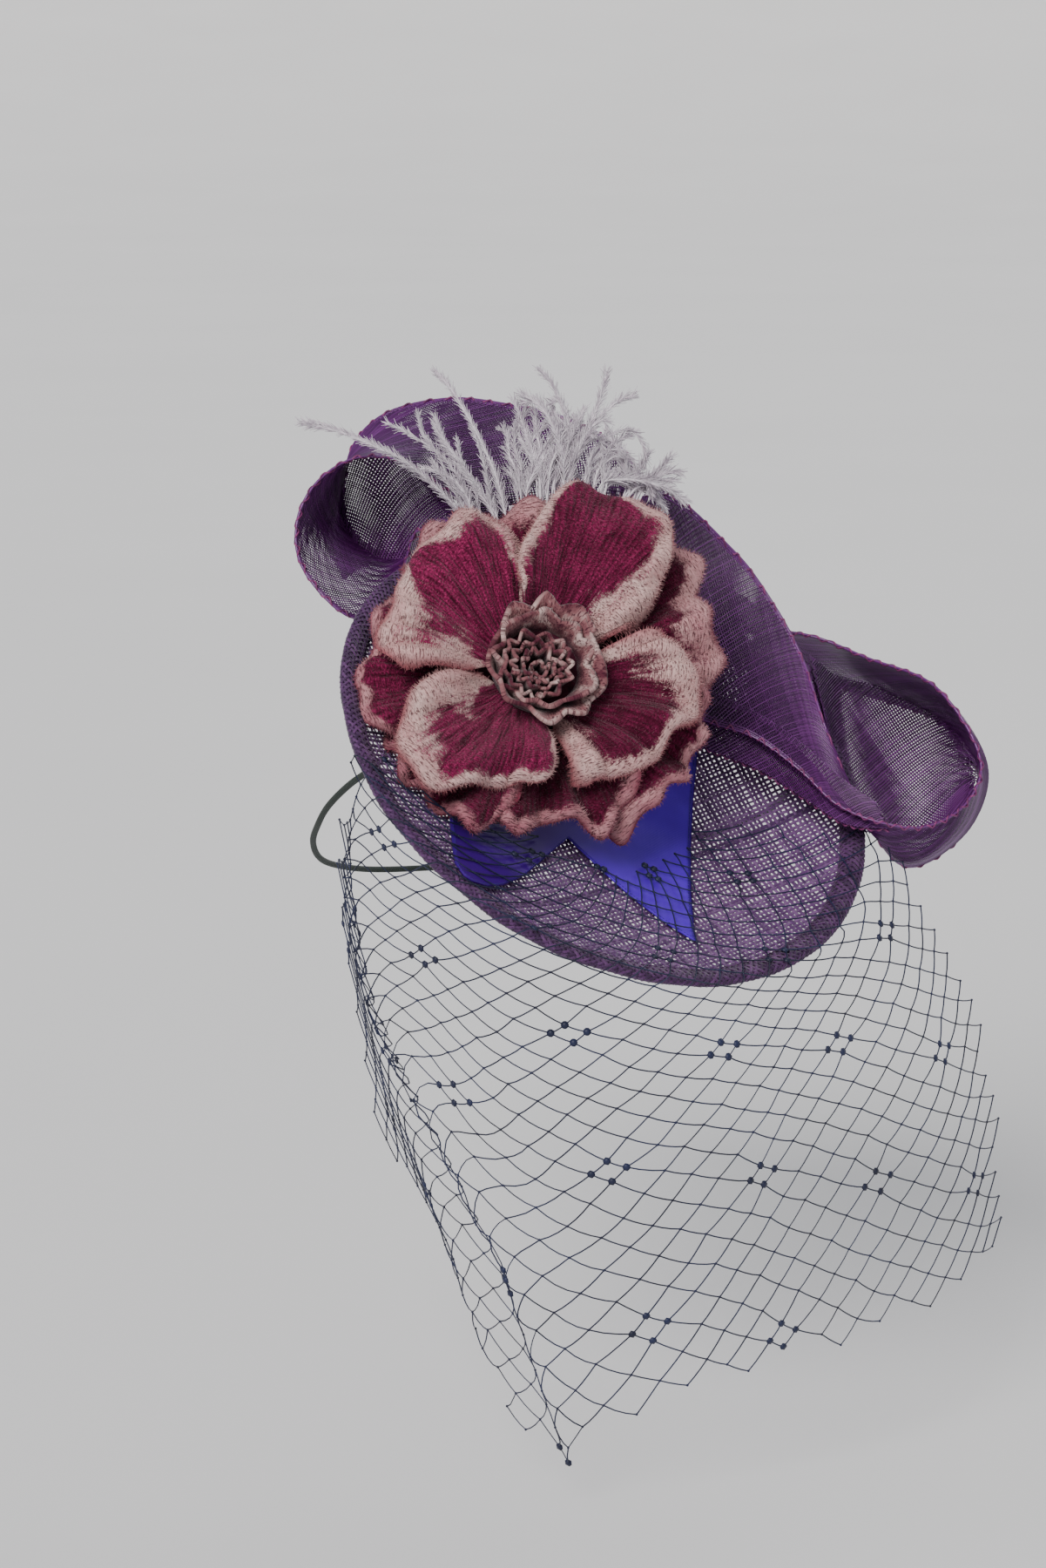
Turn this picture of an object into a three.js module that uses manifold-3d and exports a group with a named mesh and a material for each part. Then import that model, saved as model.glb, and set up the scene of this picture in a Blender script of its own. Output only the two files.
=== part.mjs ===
// Floral veil headpiece, in millimetres.
// Wearer's frame: -Y is forward, +X the wearer's left, +Z up.
// The origin is the middle of the saucer's underside.
import * as THREE from 'three';
import Module from 'manifold-3d';
import { mergeVertices } from 'three/addons/utils/BufferGeometryUtils.js';

const wasm = await Module();
wasm.setup();

const { degToRad, lerp, smoothstep } = THREE.MathUtils;

// Saucer: a round dish, tipped forward over the brow and turned a little to the wearer's left
const TILT_FORWARD = degToRad(40.8);
const TILT_HEADING = degToRad(17.6);
const SAUCER_EDGE_RADIUS = 81;
const SAUCER_DEPTH = 17;
const SAUCER_CURVE = 2.5;
const SAUCER_WALL = 1.2;
const SAUCER_RINGS = [0, 22, 40, 55, 68, 81];
const ROUND_STEPS = 40;
const WELD_DISTANCE = 1e-4;

// Bias strip folded over the saucer's edge: a channel with a rounded crest
const BINDING_REACH = 5.5;
const BINDING_CREST = 1.9;
const BINDING_WALL = 1.0;
const BINDING_GAP = 0.35;
const BINDING_FLAT = 0.2;
const BINDING_SHOULDER = { along: 0.75, across: 0.65 };

// Satin ribbon tail: laid along its heading from the reference corner, wider side to the left
const RIBBON_WALL = 1.0;
const RIBBON_WIDTH = 72;
const RIBBON_HEADING = degToRad(-122);
const RIBBON_CORNER = new THREE.Vector3(41, 1, 0);
const RIBBON_START = { right: -14, slope: 0.4 };
const RIBBON_TIPS = { right: 70, notch: 45, left: 80 };
const RIBBON_NOTCH_SHARE = 0.55;
const RIBBON_CLEARANCE = 0.6;
const RIBBON_TIP_LIFT = { rise: 1.5, across: 0.6, along: 0.5 };
const RIBBON_ALONG = 6;
const RIBBON_ACROSS = 9;

// Crin: open woven strip, both ends gathered under the flower; rows along each loop, in the saucer's frame
const CRIN_WALL = 1.0;
const CRIN_BOW = 2.5;
const CRIN_ACROSS = 3;
const CRIN_LEFT_STEPS = 28;
const CRIN_LEFT = [
  { near: [-14, 44, 6.5], far: [8, 52, 9] },
  { near: [-24, 84, 26], far: [14, 94, 25] },
  { near: [-50, 74, 11], far: [-12, 101, -5] },
  { near: [-57, 88, 10], far: [-19, 115, -6] },
  { near: [-55, 100, 16], far: [-17, 127, 1] },
  { near: [-47, 108, 23], far: [-12, 135, 9] },
  { near: [-34, 111, 29], far: [-4, 137, 18] },
  { near: [-23, 106, 32], far: [13, 133, 27] },
  { near: [-12, 96, 30], far: [26, 125, 32] },
  { near: [0, 83, 27], far: [44, 112, 36] },
  { near: [14, 62, 20], far: [54, 90, 38] },
  { near: [6, 46, 12], far: [30, 54, 16] },
];
const CRIN_RIGHT_STEPS = 36;
const CRIN_RIGHT = [
  { near: [14, 26, 3.7], far: [31, 40, 7.8] },
  { near: [29, 20, 16], far: [54, 71, 40] },
  { near: [41, 5, 19], far: [69, 52, 39] },
  { near: [48, -6, 24], far: [74, 36, 36] },
  { near: [55, -22, 26], far: [77, 17, 33] },
  { near: [58, -37, 28], far: [77, -10, 29] },
  { near: [64, -49, 33], far: [86, -36, 17] },
  { near: [75, -55, 36], far: [99, -46, 3] },
  { near: [88, -54, 42], far: [117, -43, 10] },
  { near: [96, -46, 49], far: [127, -29, 19] },
  { near: [96, -19, 52], far: [127, -8, 18] },
  { near: [95, 8, 36], far: [122, 15, 5] },
  { near: [88, 25, 28], far: [111, 29, 0] },
  { near: [74, 31, 25], far: [92, 44, 23] },
  { near: [54, 36, 18], far: [66, 52, 25] },
  { near: [34, 42, 10], far: [45, 55, 17] },
];

// Velvet flower: leaning on a stem, in the saucer's frame
const FLOWER_PLACE = [-19.5, 22.6, 34];
const FLOWER_TILT = degToRad(24.5);
const FLOWER_HEADING = degToRad(-52.3);
const STEM_RADIUS = 5;
const STEM_LENGTH = 31.6;
const STEM_SIDES = 16;
const PETAL_WALL = 1.2;
const PETAL_ROOT = STEM_RADIUS + 0.4;
const PETAL_ALONG = 6;
const PETAL_ACROSS = 8;
const PETAL_NECK = { share: 0.52, from: 0.05, to: 0.5 };
const PETAL_ROUNDING = { share: 0.3, power: 3.2 };
const PETAL_CUP_POWER = 1.4;
const PETAL_CURL_FROM = 0.7;
const PETAL_WAVES = 1.5;
const PETAL_LAP_TO = 0.3;
const UPPER_LAYER = { base: 1.5, side: 2.0, ruffle: 1.6, lap: 1.6 };
const PETALS_UPPER = [
  { azimuth: 97, spread: 43, length: 52, cup: 10, curl: 3.5 },
  { azimuth: 177, spread: 42, length: 47, cup: 10, curl: 4.0 },
  { azimuth: 254, spread: 43, length: 45, cup: 10, curl: 3.5 },
  { azimuth: 2, spread: 45, length: 46, cup: 10, curl: 4.0 },
];
const LOWER_LAYER = { base: -5, side: 0.6, ruffle: 2.2, lap: 2.2 };
const PETALS_LOWER = [
  { azimuth: 57, spread: 36, length: 55, cup: 8, curl: 2.5 },
  { azimuth: 357, spread: 34, length: 54, cup: 7, curl: 2.0 },
  { azimuth: 307, spread: 34, length: 54, cup: 7, curl: 2.0 },
  { azimuth: 260, spread: 30, length: 51, cup: 8, curl: 2.0 },
  { azimuth: 219, spread: 32, length: 52, cup: 8, curl: 2.0 },
  { azimuth: 144, spread: 42, length: 54, cup: 8, curl: 2.5 },
];

// Flower centre: a strip rolled up on a small disc, its free edge frilled
const CENTRE_SEAT = 8.2;
const CENTRE_DISC_RADIUS = 15.5;
const CENTRE_DISC_WALL = 1.4;
const CENTRE_DISC_SIDES = 24;
const CENTRE_RUFFLE_HEIGHT = 8;
const CENTRE_RUFFLE_WALL = 1.2;
const CENTRE_RUFFLE_STEPS = 64;
const CENTRE_RUFFLE_ROWS = 1;
const CENTRE_TURNS = 2.6;
const CENTRE_RADII = { inner: 2.6, outer: 15 };
const CENTRE_FRILL = { waves: 14, swing: 1.5 };

// Plume tufts: fronds fused to a wired root beside the stem; tips in the saucer's frame
const FROND_STEPS = 5;
const FROND_THICKNESS = 1.2;
const FROND_SIDES = 4;
const FROND_TIP_SHARE = 0.5;
const FROND_LEAF = { narrow: 0.3, power: 0.8 };
const TUFT_ROOT_RADIUS = 1.4;
const TUFT_HEAD_RADIUS = 3.2;
const TUFT_HEAD_SIDES = 6;
const TUFT_HEAD_RINGS = 4;
const TUFTS = [
  {
    name: 'feather_tuft_left',
    root: [-12.8, 31.2, 21.9],
    fan: [1, 79, 38],
    fronds: [
      { tip: [-47, 123, 33], lift: 3, width: 6 },
      { tip: [-25, 114, 40], lift: 4, width: 7 },
      { tip: [-9, 122, 51], lift: 3, width: 6 },
      { tip: [-15, 108, 43], lift: 2, width: 8 },
      { tip: [-28, 99, 38], lift: 3, width: 7 },
    ],
  },
  {
    name: 'feather_tuft_right',
    root: [-8.9, 27.9, 22.6],
    fan: [16, 74, 44],
    fronds: [
      { tip: [14, 109, 50], lift: 4, width: 9 },
      { tip: [20, 112, 60], lift: 5, width: 8 },
      { tip: [34, 101, 68], lift: 6, width: 10 },
      { tip: [36, 90, 70], lift: 7, width: 10 },
      { tip: [42, 79, 65], lift: 6, width: 10 },
      { tip: [44, 66, 61], lift: 6, width: 9 },
      { tip: [43, 54, 58], lift: 6, width: 8 },
    ],
  },
];

// Veil: net of diamond gaps laid over the dish's front and hanging from its rim.
// Rows from the wearer's right to the left: rim angle on the saucer, mid-fall and hem in the wearer's frame.
const VEIL_WALL = 1.0;
const VEIL_COLUMNS = 12;
const VEIL_ROWS = 10;
const VEIL_STRAND_SHARE = 0.84;
const VEIL_CREST = { radius: 85.4, height: 22.4 };
const VEIL_INNER = { radius: 63, clearance: 3.0 };
const VEIL_FALL = [
  { rim: 172, mid: [-69, 19, -25], hem: [-52, 31, -115] },
  { rim: 190, mid: [-69, -12, -54], hem: [-45, -13, -132] },
  { rim: 206, mid: [-63, -46, -70], hem: [-38, -53, -176] },
  { rim: 222, mid: [-47, -78, -83], hem: [-28, -76, -178] },
  { rim: 244, mid: [-22, -93, -83], hem: [-4, -82, -160] },
  { rim: 266, mid: [9, -94, -82], hem: [28, -80, -155] },
  { rim: 290, mid: [49, -78, -81], hem: [68, -63, -157] },
  { rim: 312, mid: [90, -47, -81], hem: [110, -31, -153] },
  { rim: 329, mid: [126, -8, -82], hem: [137, 1, -157] },
];

// Elastic: thin round cord from under the saucer's right side round the back of the head to its left side
const ELASTIC_DIAMETER = 2;
const ELASTIC_SIDES = 8;
const ELASTIC_STEPS = 72;
const ELASTIC_ROUTE = [
  [-57, -3.1, 20.8], [-58.5, 2, 16], [-60, 14, 9], [-62, 30, 1], [-63, 48, -9], [-61, 66, -19],
  [-57, 84, -28], [-49, 104, -38], [-37, 124, -46], [-19, 143, -53], [4, 155, -57], [28, 157, -58],
  [52, 149, -56], [72, 134, -51], [86, 115, -44], [94, 94, -35], [95, 74, -25], [91, 56, -15],
  [83, 41, -6], [72, 29, 2], [62, 22.5, 7], [57, 20.2, 11.6],
];

const COLOURS = {
  sinamay: 0x4a2a63,
  binding: 0x3b1d4f,
  satin: 0x2f22a8,
  crin: 0x5a2a72,
  petalUpper: 0xa04a68,
  petalLower: 0xb87a86,
  centre: 0x8a5562,
  feather: 0xc3b9c6,
  veil: 0x1b2140,
  elastic: 0x141a18,
};

const VELVET_ROUGHNESS = 0.95;

const point = (coordinates) => new THREE.Vector3(...coordinates);

// Height of the saucer's underside at a distance from its middle
function dishHeight(radius) {
  return SAUCER_DEPTH * (radius / SAUCER_EDGE_RADIUS) ** SAUCER_CURVE;
}

function dishTop(radius) {
  return dishHeight(radius) + SAUCER_WALL;
}

// Closed geometry from corner positions and triangles
function geometryFrom(positions, triangles) {
  const geometry = new THREE.BufferGeometry();
  const flat = positions.flatMap((corner) => [corner.x, corner.y, corner.z]);
  geometry.setAttribute('position', new THREE.Float32BufferAttribute(flat, 3));
  geometry.setIndex(triangles.flat());
  return geometry;
}

// Cloth wall: an oriented surface thickened half the wall to each side, with its free edges closed
function clothWall(middle, triangles, wall) {
  const normals = middle.map(() => new THREE.Vector3());
  const freeEdges = new Map();
  for (const [a, b, c] of triangles) {
    const along = middle[b].clone().sub(middle[a]);
    const across = middle[c].clone().sub(middle[a]);
    const normal = along.cross(across);
    for (const corner of [a, b, c]) normals[corner].add(normal);
    for (const [from, to] of [[a, b], [b, c], [c, a]]) {
      if (!freeEdges.delete(`${to}_${from}`)) freeEdges.set(`${from}_${to}`, [from, to]);
    }
  }
  const count = middle.length;
  const positions = [];
  for (const side of [wall / 2, -wall / 2]) {
    middle.forEach((corner, index) => {
      positions.push(corner.clone().addScaledVector(normals[index].clone().normalize(), side));
    });
  }
  const faces = [];
  for (const [a, b, c] of triangles) {
    faces.push([a, b, c], [a + count, c + count, b + count]);
  }
  for (const [from, to] of freeEdges.values()) {
    faces.push([from, from + count, to + count], [from, to + count, to]);
  }
  return geometryFrom(positions, faces);
}

// Cloth wall over a grid of points given by shares along and across
function gridWall(pointAt, along, across, wall) {
  const middle = [];
  const triangles = [];
  const stride = across + 1;
  for (let i = 0; i <= along; i += 1) {
    for (let j = 0; j <= across; j += 1) middle.push(pointAt(i / along, j / across));
  }
  for (let i = 0; i < along; i += 1) {
    for (let j = 0; j < across; j += 1) {
      const corner = i * stride + j;
      triangles.push([corner, corner + stride, corner + stride + 1]);
      triangles.push([corner, corner + stride + 1, corner + 1]);
    }
  }
  return clothWall(middle, triangles, wall);
}

// Solid turned about Z from a closed profile of [radius, height]
function turned(profile) {
  const outline = profile.map(([radius, height]) => new THREE.Vector2(radius, height));
  const geometry = new THREE.LatheGeometry(outline, ROUND_STEPS);
  geometry.rotateX(Math.PI / 2);
  return geometry;
}

// Upright round post between two heights
function post(radius, bottom, top, sides) {
  const geometry = new THREE.CylinderGeometry(radius, radius, top - bottom, sides);
  geometry.rotateX(Math.PI / 2);
  geometry.translate(0, 0, (bottom + top) / 2);
  return geometry;
}

// Booleans: geometry to a solid and back
function toSolid(geometry) {
  const bare = geometry.clone();
  bare.deleteAttribute('normal');
  bare.deleteAttribute('uv');
  const merged = mergeVertices(bare, WELD_DISTANCE);
  const vertProperties = new Float32Array(merged.attributes.position.array);
  const triVerts = new Uint32Array(merged.index.array);
  return new wasm.Manifold(new wasm.Mesh({ numProp: 3, vertProperties, triVerts }));
}

function fused(geometries) {
  const [first, ...others] = geometries.map(toSolid);
  const whole = others.reduce((sum, next) => sum.add(next), first);
  const { vertProperties, triVerts } = whole.getMesh();
  const geometry = new THREE.BufferGeometry();
  geometry.setAttribute('position', new THREE.Float32BufferAttribute(vertProperties, 3));
  geometry.setIndex(Array.from(triVerts));
  return geometry;
}

function clothPiece(name, geometry, colour, roughness = 0.85) {
  const material = new THREE.MeshStandardMaterial({ color: colour, roughness, metalness: 0 });
  const mesh = new THREE.Mesh(geometry, material);
  mesh.name = name;
  return mesh;
}

function saucerGeometry() {
  const underside = SAUCER_RINGS.map((radius) => [radius, dishHeight(radius)]);
  const top = SAUCER_RINGS.map((radius) => [radius, dishTop(radius)]).reverse();
  return turned([...underside, ...top]);
}

// Channel section set out along the saucer's edge: inwards and outwards on its slope, up and down across it
function bindingGeometry() {
  const lastRing = SAUCER_RINGS.at(-2);
  const edgeRise = dishHeight(SAUCER_EDGE_RADIUS) - dishHeight(lastRing);
  const slope = Math.atan2(edgeRise, SAUCER_EDGE_RADIUS - lastRing);
  const inner = SAUCER_WALL / 2 + BINDING_GAP;
  const outer = inner + BINDING_WALL;
  const crest = BINDING_CREST * BINDING_SHOULDER.along;
  const shoulder = outer * BINDING_SHOULDER.across;
  const section = [
    [-BINDING_REACH, -outer], [BINDING_FLAT, -outer], [crest, -shoulder], [BINDING_CREST, 0],
    [crest, shoulder], [BINDING_FLAT, outer], [-BINDING_REACH, outer],
    [-BINDING_REACH, inner], [BINDING_GAP, inner], [BINDING_GAP, -inner], [-BINDING_REACH, -inner],
    [-BINDING_REACH, -outer],
  ];
  const edgeHeight = dishHeight(SAUCER_EDGE_RADIUS) + SAUCER_WALL / 2;
  const profile = section.map(([along, across]) => [
    SAUCER_EDGE_RADIUS + along * Math.cos(slope) - across * Math.sin(slope),
    edgeHeight + along * Math.sin(slope) + across * Math.cos(slope),
  ]);
  return turned(profile);
}

// Ribbon end: two tips with a notch between them
function ribbonEnd(share) {
  const { right, notch, left } = RIBBON_TIPS;
  if (share < RIBBON_NOTCH_SHARE) return lerp(right, notch, share / RIBBON_NOTCH_SHARE);
  return lerp(notch, left, (share - RIBBON_NOTCH_SHARE) / (1 - RIBBON_NOTCH_SHARE));
}

function ribbonGeometry() {
  const forward = new THREE.Vector3(Math.cos(RIBBON_HEADING), Math.sin(RIBBON_HEADING), 0);
  const leftward = new THREE.Vector3(forward.y, -forward.x, 0);
  const pointAt = (along, across) => {
    const start = RIBBON_START.right + RIBBON_START.slope * RIBBON_WIDTH * across;
    const reach = lerp(start, ribbonEnd(across), along);
    const place = RIBBON_CORNER.clone();
    place.addScaledVector(forward, reach);
    place.addScaledVector(leftward, RIBBON_WIDTH * across);
    const leftSide = smoothstep(across, RIBBON_TIP_LIFT.across, 1);
    const lift = RIBBON_TIP_LIFT.rise * leftSide * smoothstep(along, RIBBON_TIP_LIFT.along, 1);
    place.z = dishTop(place.length()) + RIBBON_CLEARANCE + RIBBON_WALL / 2 + lift;
    return place;
  };
  return gridWall(pointAt, RIBBON_ALONG, RIBBON_ACROSS, RIBBON_WALL);
}

// Crin strip between its near and far edges, bowed a little across its width
function crinGeometry(rows, steps) {
  const near = new THREE.CatmullRomCurve3(rows.map((row) => point(row.near)));
  const far = new THREE.CatmullRomCurve3(rows.map((row) => point(row.far)));
  const pointAt = (along, across) => {
    const start = near.getPoint(along);
    const width = far.getPoint(along).sub(start);
    const bow = near.getTangent(along).cross(width).normalize();
    const place = start.addScaledVector(width, across);
    return place.addScaledVector(bow, -CRIN_BOW * Math.sin(Math.PI * across) * Math.sin(Math.PI * along));
  };
  return gridWall(pointAt, steps, CRIN_ACROSS, CRIN_WALL);
}

// Petal: a fan from the stem, cupped, its tip and sides rolled down, its edge waved, one side over the next
function petalGeometry(row, layer) {
  const pointAt = (along, across) => {
    const side = 2 * across - 1;
    const opening = smoothstep(along, PETAL_NECK.from, PETAL_NECK.to);
    const spread = row.spread * lerp(PETAL_NECK.share, 1, opening);
    const angle = degToRad(row.azimuth + spread * side);
    const edge = row.length * (1 - PETAL_ROUNDING.share * Math.abs(side) ** PETAL_ROUNDING.power);
    const radius = lerp(PETAL_ROOT, edge, along);
    const cup = row.cup * Math.sin((Math.PI / 2) * along ** PETAL_CUP_POWER);
    const curl = row.curl * smoothstep(along, PETAL_CURL_FROM, 1) ** 2;
    const roll = layer.side * side ** 4 * along;
    const wave = layer.ruffle * along ** 2 * Math.sin(PETAL_WAVES * Math.PI * side);
    const lap = layer.lap * side * smoothstep(along, 0, PETAL_LAP_TO);
    const height = layer.base + cup - curl - roll - wave + lap;
    return new THREE.Vector3(radius * Math.cos(angle), radius * Math.sin(angle), height);
  };
  return gridWall(pointAt, PETAL_ALONG, PETAL_ACROSS, PETAL_WALL);
}

// Flower centre: rolled frill, its disc and the stem down to the dish, fused
function centreGeometry() {
  const discMiddle = CENTRE_SEAT + CENTRE_DISC_WALL / 2;
  const frill = gridWall((along, up) => {
    const angle = along * CENTRE_TURNS * 2 * Math.PI;
    const wave = Math.sin(along * CENTRE_FRILL.waves * 2 * Math.PI);
    const swing = CENTRE_FRILL.swing * wave * up;
    const radius = lerp(CENTRE_RADII.inner, CENTRE_RADII.outer, Math.sqrt(along)) + swing;
    const height = discMiddle + CENTRE_RUFFLE_HEIGHT * up;
    return new THREE.Vector3(radius * Math.cos(angle), radius * Math.sin(angle), height);
  }, CENTRE_RUFFLE_STEPS, CENTRE_RUFFLE_ROWS, CENTRE_RUFFLE_WALL);
  const disc = post(CENTRE_DISC_RADIUS, CENTRE_SEAT, CENTRE_SEAT + CENTRE_DISC_WALL, CENTRE_DISC_SIDES);
  const stem = post(STEM_RADIUS, -STEM_LENGTH, discMiddle, STEM_SIDES);
  return fused([disc, stem, frill]);
}

// Flat strip along a curve, its width given by the share along it
function flatStrip(curve, widthAt, thickness) {
  const positions = [];
  const triangles = [];
  const frames = curve.computeFrenetFrames(FROND_STEPS);
  for (let step = 0; step <= FROND_STEPS; step += 1) {
    const share = step / FROND_STEPS;
    const middle = curve.getPointAt(share);
    const halfWidth = widthAt(share) / 2;
    const halfThickness = (thickness / 2) * lerp(1, FROND_TIP_SHARE, share);
    for (let side = 0; side < FROND_SIDES; side += 1) {
      const angle = (2 * Math.PI * side) / FROND_SIDES;
      const corner = middle.clone();
      corner.addScaledVector(frames.binormals[step], halfWidth * Math.cos(angle));
      corner.addScaledVector(frames.normals[step], halfThickness * Math.sin(angle));
      positions.push(corner);
    }
  }
  for (let step = 0; step < FROND_STEPS; step += 1) {
    for (let side = 0; side < FROND_SIDES; side += 1) {
      const a = step * FROND_SIDES + side;
      const b = step * FROND_SIDES + ((side + 1) % FROND_SIDES);
      triangles.push([a, a + FROND_SIDES, b + FROND_SIDES], [a, b + FROND_SIDES, b]);
    }
  }
  const last = FROND_STEPS * FROND_SIDES;
  for (let side = 1; side < FROND_SIDES - 1; side += 1) {
    triangles.push([0, side, side + 1], [last, last + side + 1, last + side]);
  }
  return geometryFrom(positions, triangles);
}

// Plume tuft: fronds that arch from the fan point, and the wired root down to the stem, fused
function tuftGeometry(tuft) {
  const fan = point(tuft.fan);
  const root = point(tuft.root);
  const rootPath = new THREE.LineCurve3(root, fan);
  const head = new THREE.SphereGeometry(TUFT_HEAD_RADIUS, TUFT_HEAD_SIDES, TUFT_HEAD_RINGS);
  head.translate(fan.x, fan.y, fan.z);
  const rootWidth = (share) => 2 * lerp(TUFT_ROOT_RADIUS, TUFT_HEAD_RADIUS, share);
  const rootStrip = flatStrip(rootPath, rootWidth, 2 * TUFT_ROOT_RADIUS);
  const fronds = tuft.fronds.map((frond) => {
    const tip = point(frond.tip);
    const bend = fan.clone().lerp(tip, 0.5);
    bend.z += frond.lift;
    const path = new THREE.QuadraticBezierCurve3(fan, bend, tip);
    const leafWidth = (share) => frond.width
      * lerp(FROND_LEAF.narrow, 1, Math.sin(Math.PI * share ** FROND_LEAF.power));
    return flatStrip(path, leafWidth, FROND_THICKNESS);
  });
  return fused([head, rootStrip, ...fronds]);
}

// Surface of the veil: across from the wearer's right to left, drop below zero on the dish and one at the hem
function veilSurface(tilt) {
  const rims = new THREE.SplineCurve(VEIL_FALL.map((row, index) => new THREE.Vector2(index, row.rim)));
  const mids = new THREE.CatmullRomCurve3(VEIL_FALL.map((row) => point(row.mid)));
  const hems = new THREE.CatmullRomCurve3(VEIL_FALL.map((row) => point(row.hem)));
  const innerHeight = dishTop(VEIL_INNER.radius) + VEIL_INNER.clearance;
  return (across, drop) => {
    const angle = degToRad(rims.getPoint(across).y);
    const onSaucer = (radius, height) => {
      const place = new THREE.Vector3(radius * Math.cos(angle), radius * Math.sin(angle), height);
      return place.applyEuler(tilt);
    };
    const crest = onSaucer(VEIL_CREST.radius, VEIL_CREST.height);
    if (drop <= 0) return crest.lerp(onSaucer(VEIL_INNER.radius, innerHeight), -drop);
    const fall = crest.multiplyScalar((1 - drop) * (1 - 2 * drop));
    fall.addScaledVector(mids.getPoint(across), 4 * drop * (1 - drop));
    return fall.addScaledVector(hems.getPoint(across), drop * (2 * drop - 1));
  };
}

// Net: rows of diamond cells, each row half a cell on from the last, every cell cut through
function veilGeometry(tilt) {
  const middle = [];
  const triangles = [];
  const corners = new Map();
  const surface = veilSurface(tilt);
  const lowest = VEIL_ROWS / 2;
  const cornerAt = (column, row) => {
    const key = `${column.toFixed(3)}_${row.toFixed(3)}`;
    if (!corners.has(key)) {
      corners.set(key, middle.length);
      const across = (column + 0.5) / (VEIL_COLUMNS + 0.5);
      const drop = row <= 0 ? row * 2 : row / lowest;
      middle.push(surface(across, drop));
    }
    return corners.get(key);
  };
  for (let row = 0; row < VEIL_ROWS; row += 1) {
    for (let column = 0; column < VEIL_COLUMNS; column += 1) {
      const x = column + (row % 2) / 2;
      const y = row / 2;
      const diamond = (size) => [[-size, 0], [0, size], [size, 0], [0, -size]];
      const outer = diamond(0.5).map(([dx, dy]) => cornerAt(x + dx, y + dy));
      const inner = diamond(0.5 * VEIL_STRAND_SHARE).map(([dx, dy]) => cornerAt(x + dx, y + dy));
      for (let side = 0; side < 4; side += 1) {
        const next = (side + 1) % 4;
        triangles.push([outer[side], outer[next], inner[next]]);
        triangles.push([outer[side], inner[next], inner[side]]);
      }
    }
  }
  return clothWall(middle, triangles, VEIL_WALL);
}

function elasticGeometry() {
  const route = new THREE.CatmullRomCurve3(ELASTIC_ROUTE.map(point));
  const section = new THREE.Shape();
  for (let side = 0; side < ELASTIC_SIDES; side += 1) {
    const angle = (2 * Math.PI * side) / ELASTIC_SIDES;
    const x = (ELASTIC_DIAMETER / 2) * Math.cos(angle);
    const y = (ELASTIC_DIAMETER / 2) * Math.sin(angle);
    if (side === 0) section.moveTo(x, y);
    else section.lineTo(x, y);
  }
  section.closePath();
  const options = { steps: ELASTIC_STEPS, extrudePath: route, bevelEnabled: false };
  return new THREE.ExtrudeGeometry(section, options);
}

// Assembly: flower on its stem, in the tipped saucer; veil and elastic in the wearer's frame
const flower = new THREE.Group();
flower.position.set(...FLOWER_PLACE);
flower.rotation.set(FLOWER_TILT, 0, FLOWER_HEADING, 'ZXY');
PETALS_UPPER.forEach((row, index) => {
  const petal = petalGeometry(row, UPPER_LAYER);
  flower.add(clothPiece(`petal_upper_${index + 1}`, petal, COLOURS.petalUpper, VELVET_ROUGHNESS));
});
PETALS_LOWER.forEach((row, index) => {
  const petal = petalGeometry(row, LOWER_LAYER);
  flower.add(clothPiece(`petal_lower_${index + 1}`, petal, COLOURS.petalLower, VELVET_ROUGHNESS));
});
flower.add(clothPiece('flower_centre', centreGeometry(), COLOURS.centre, VELVET_ROUGHNESS));

const saucer = new THREE.Group();
saucer.rotation.set(TILT_FORWARD, 0, TILT_HEADING, 'ZXY');
saucer.add(clothPiece('saucer', saucerGeometry(), COLOURS.sinamay));
saucer.add(clothPiece('rim_binding', bindingGeometry(), COLOURS.binding));
saucer.add(clothPiece('satin_ribbon', ribbonGeometry(), COLOURS.satin, 0.35));
saucer.add(clothPiece('crin_loop_left', crinGeometry(CRIN_LEFT, CRIN_LEFT_STEPS), COLOURS.crin, 0.5));
saucer.add(clothPiece('crin_loop_right', crinGeometry(CRIN_RIGHT, CRIN_RIGHT_STEPS), COLOURS.crin, 0.5));
for (const tuft of TUFTS) {
  saucer.add(clothPiece(tuft.name, tuftGeometry(tuft), COLOURS.feather, 0.9));
}
saucer.add(flower);

const headpiece = new THREE.Group();
headpiece.add(saucer);
headpiece.add(clothPiece('veil', veilGeometry(saucer.rotation), COLOURS.veil, 0.8));
headpiece.add(clothPiece('elastic', elasticGeometry(), COLOURS.elastic, 0.7));

export default headpiece;
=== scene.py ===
import math

import bpy
import numpy as np
from mathutils import Matrix


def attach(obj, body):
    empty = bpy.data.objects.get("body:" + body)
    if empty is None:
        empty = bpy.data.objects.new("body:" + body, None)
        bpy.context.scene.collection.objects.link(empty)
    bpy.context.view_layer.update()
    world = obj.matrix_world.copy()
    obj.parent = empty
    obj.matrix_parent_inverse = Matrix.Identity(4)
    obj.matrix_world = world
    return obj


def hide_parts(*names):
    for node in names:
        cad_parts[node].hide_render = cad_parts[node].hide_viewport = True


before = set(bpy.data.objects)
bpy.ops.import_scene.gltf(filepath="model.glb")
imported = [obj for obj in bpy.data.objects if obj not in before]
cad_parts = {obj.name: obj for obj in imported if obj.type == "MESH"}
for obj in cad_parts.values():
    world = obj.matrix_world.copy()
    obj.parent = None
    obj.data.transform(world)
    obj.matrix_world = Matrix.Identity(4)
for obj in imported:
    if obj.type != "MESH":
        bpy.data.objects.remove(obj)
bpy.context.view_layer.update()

# Floral veil headpiece: sizes in millimetres in the part's frame, turned into metres when a mesh is made
MM = 0.001
FULL_TURN = 2 * math.pi
chance = np.random.default_rng(17)

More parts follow.
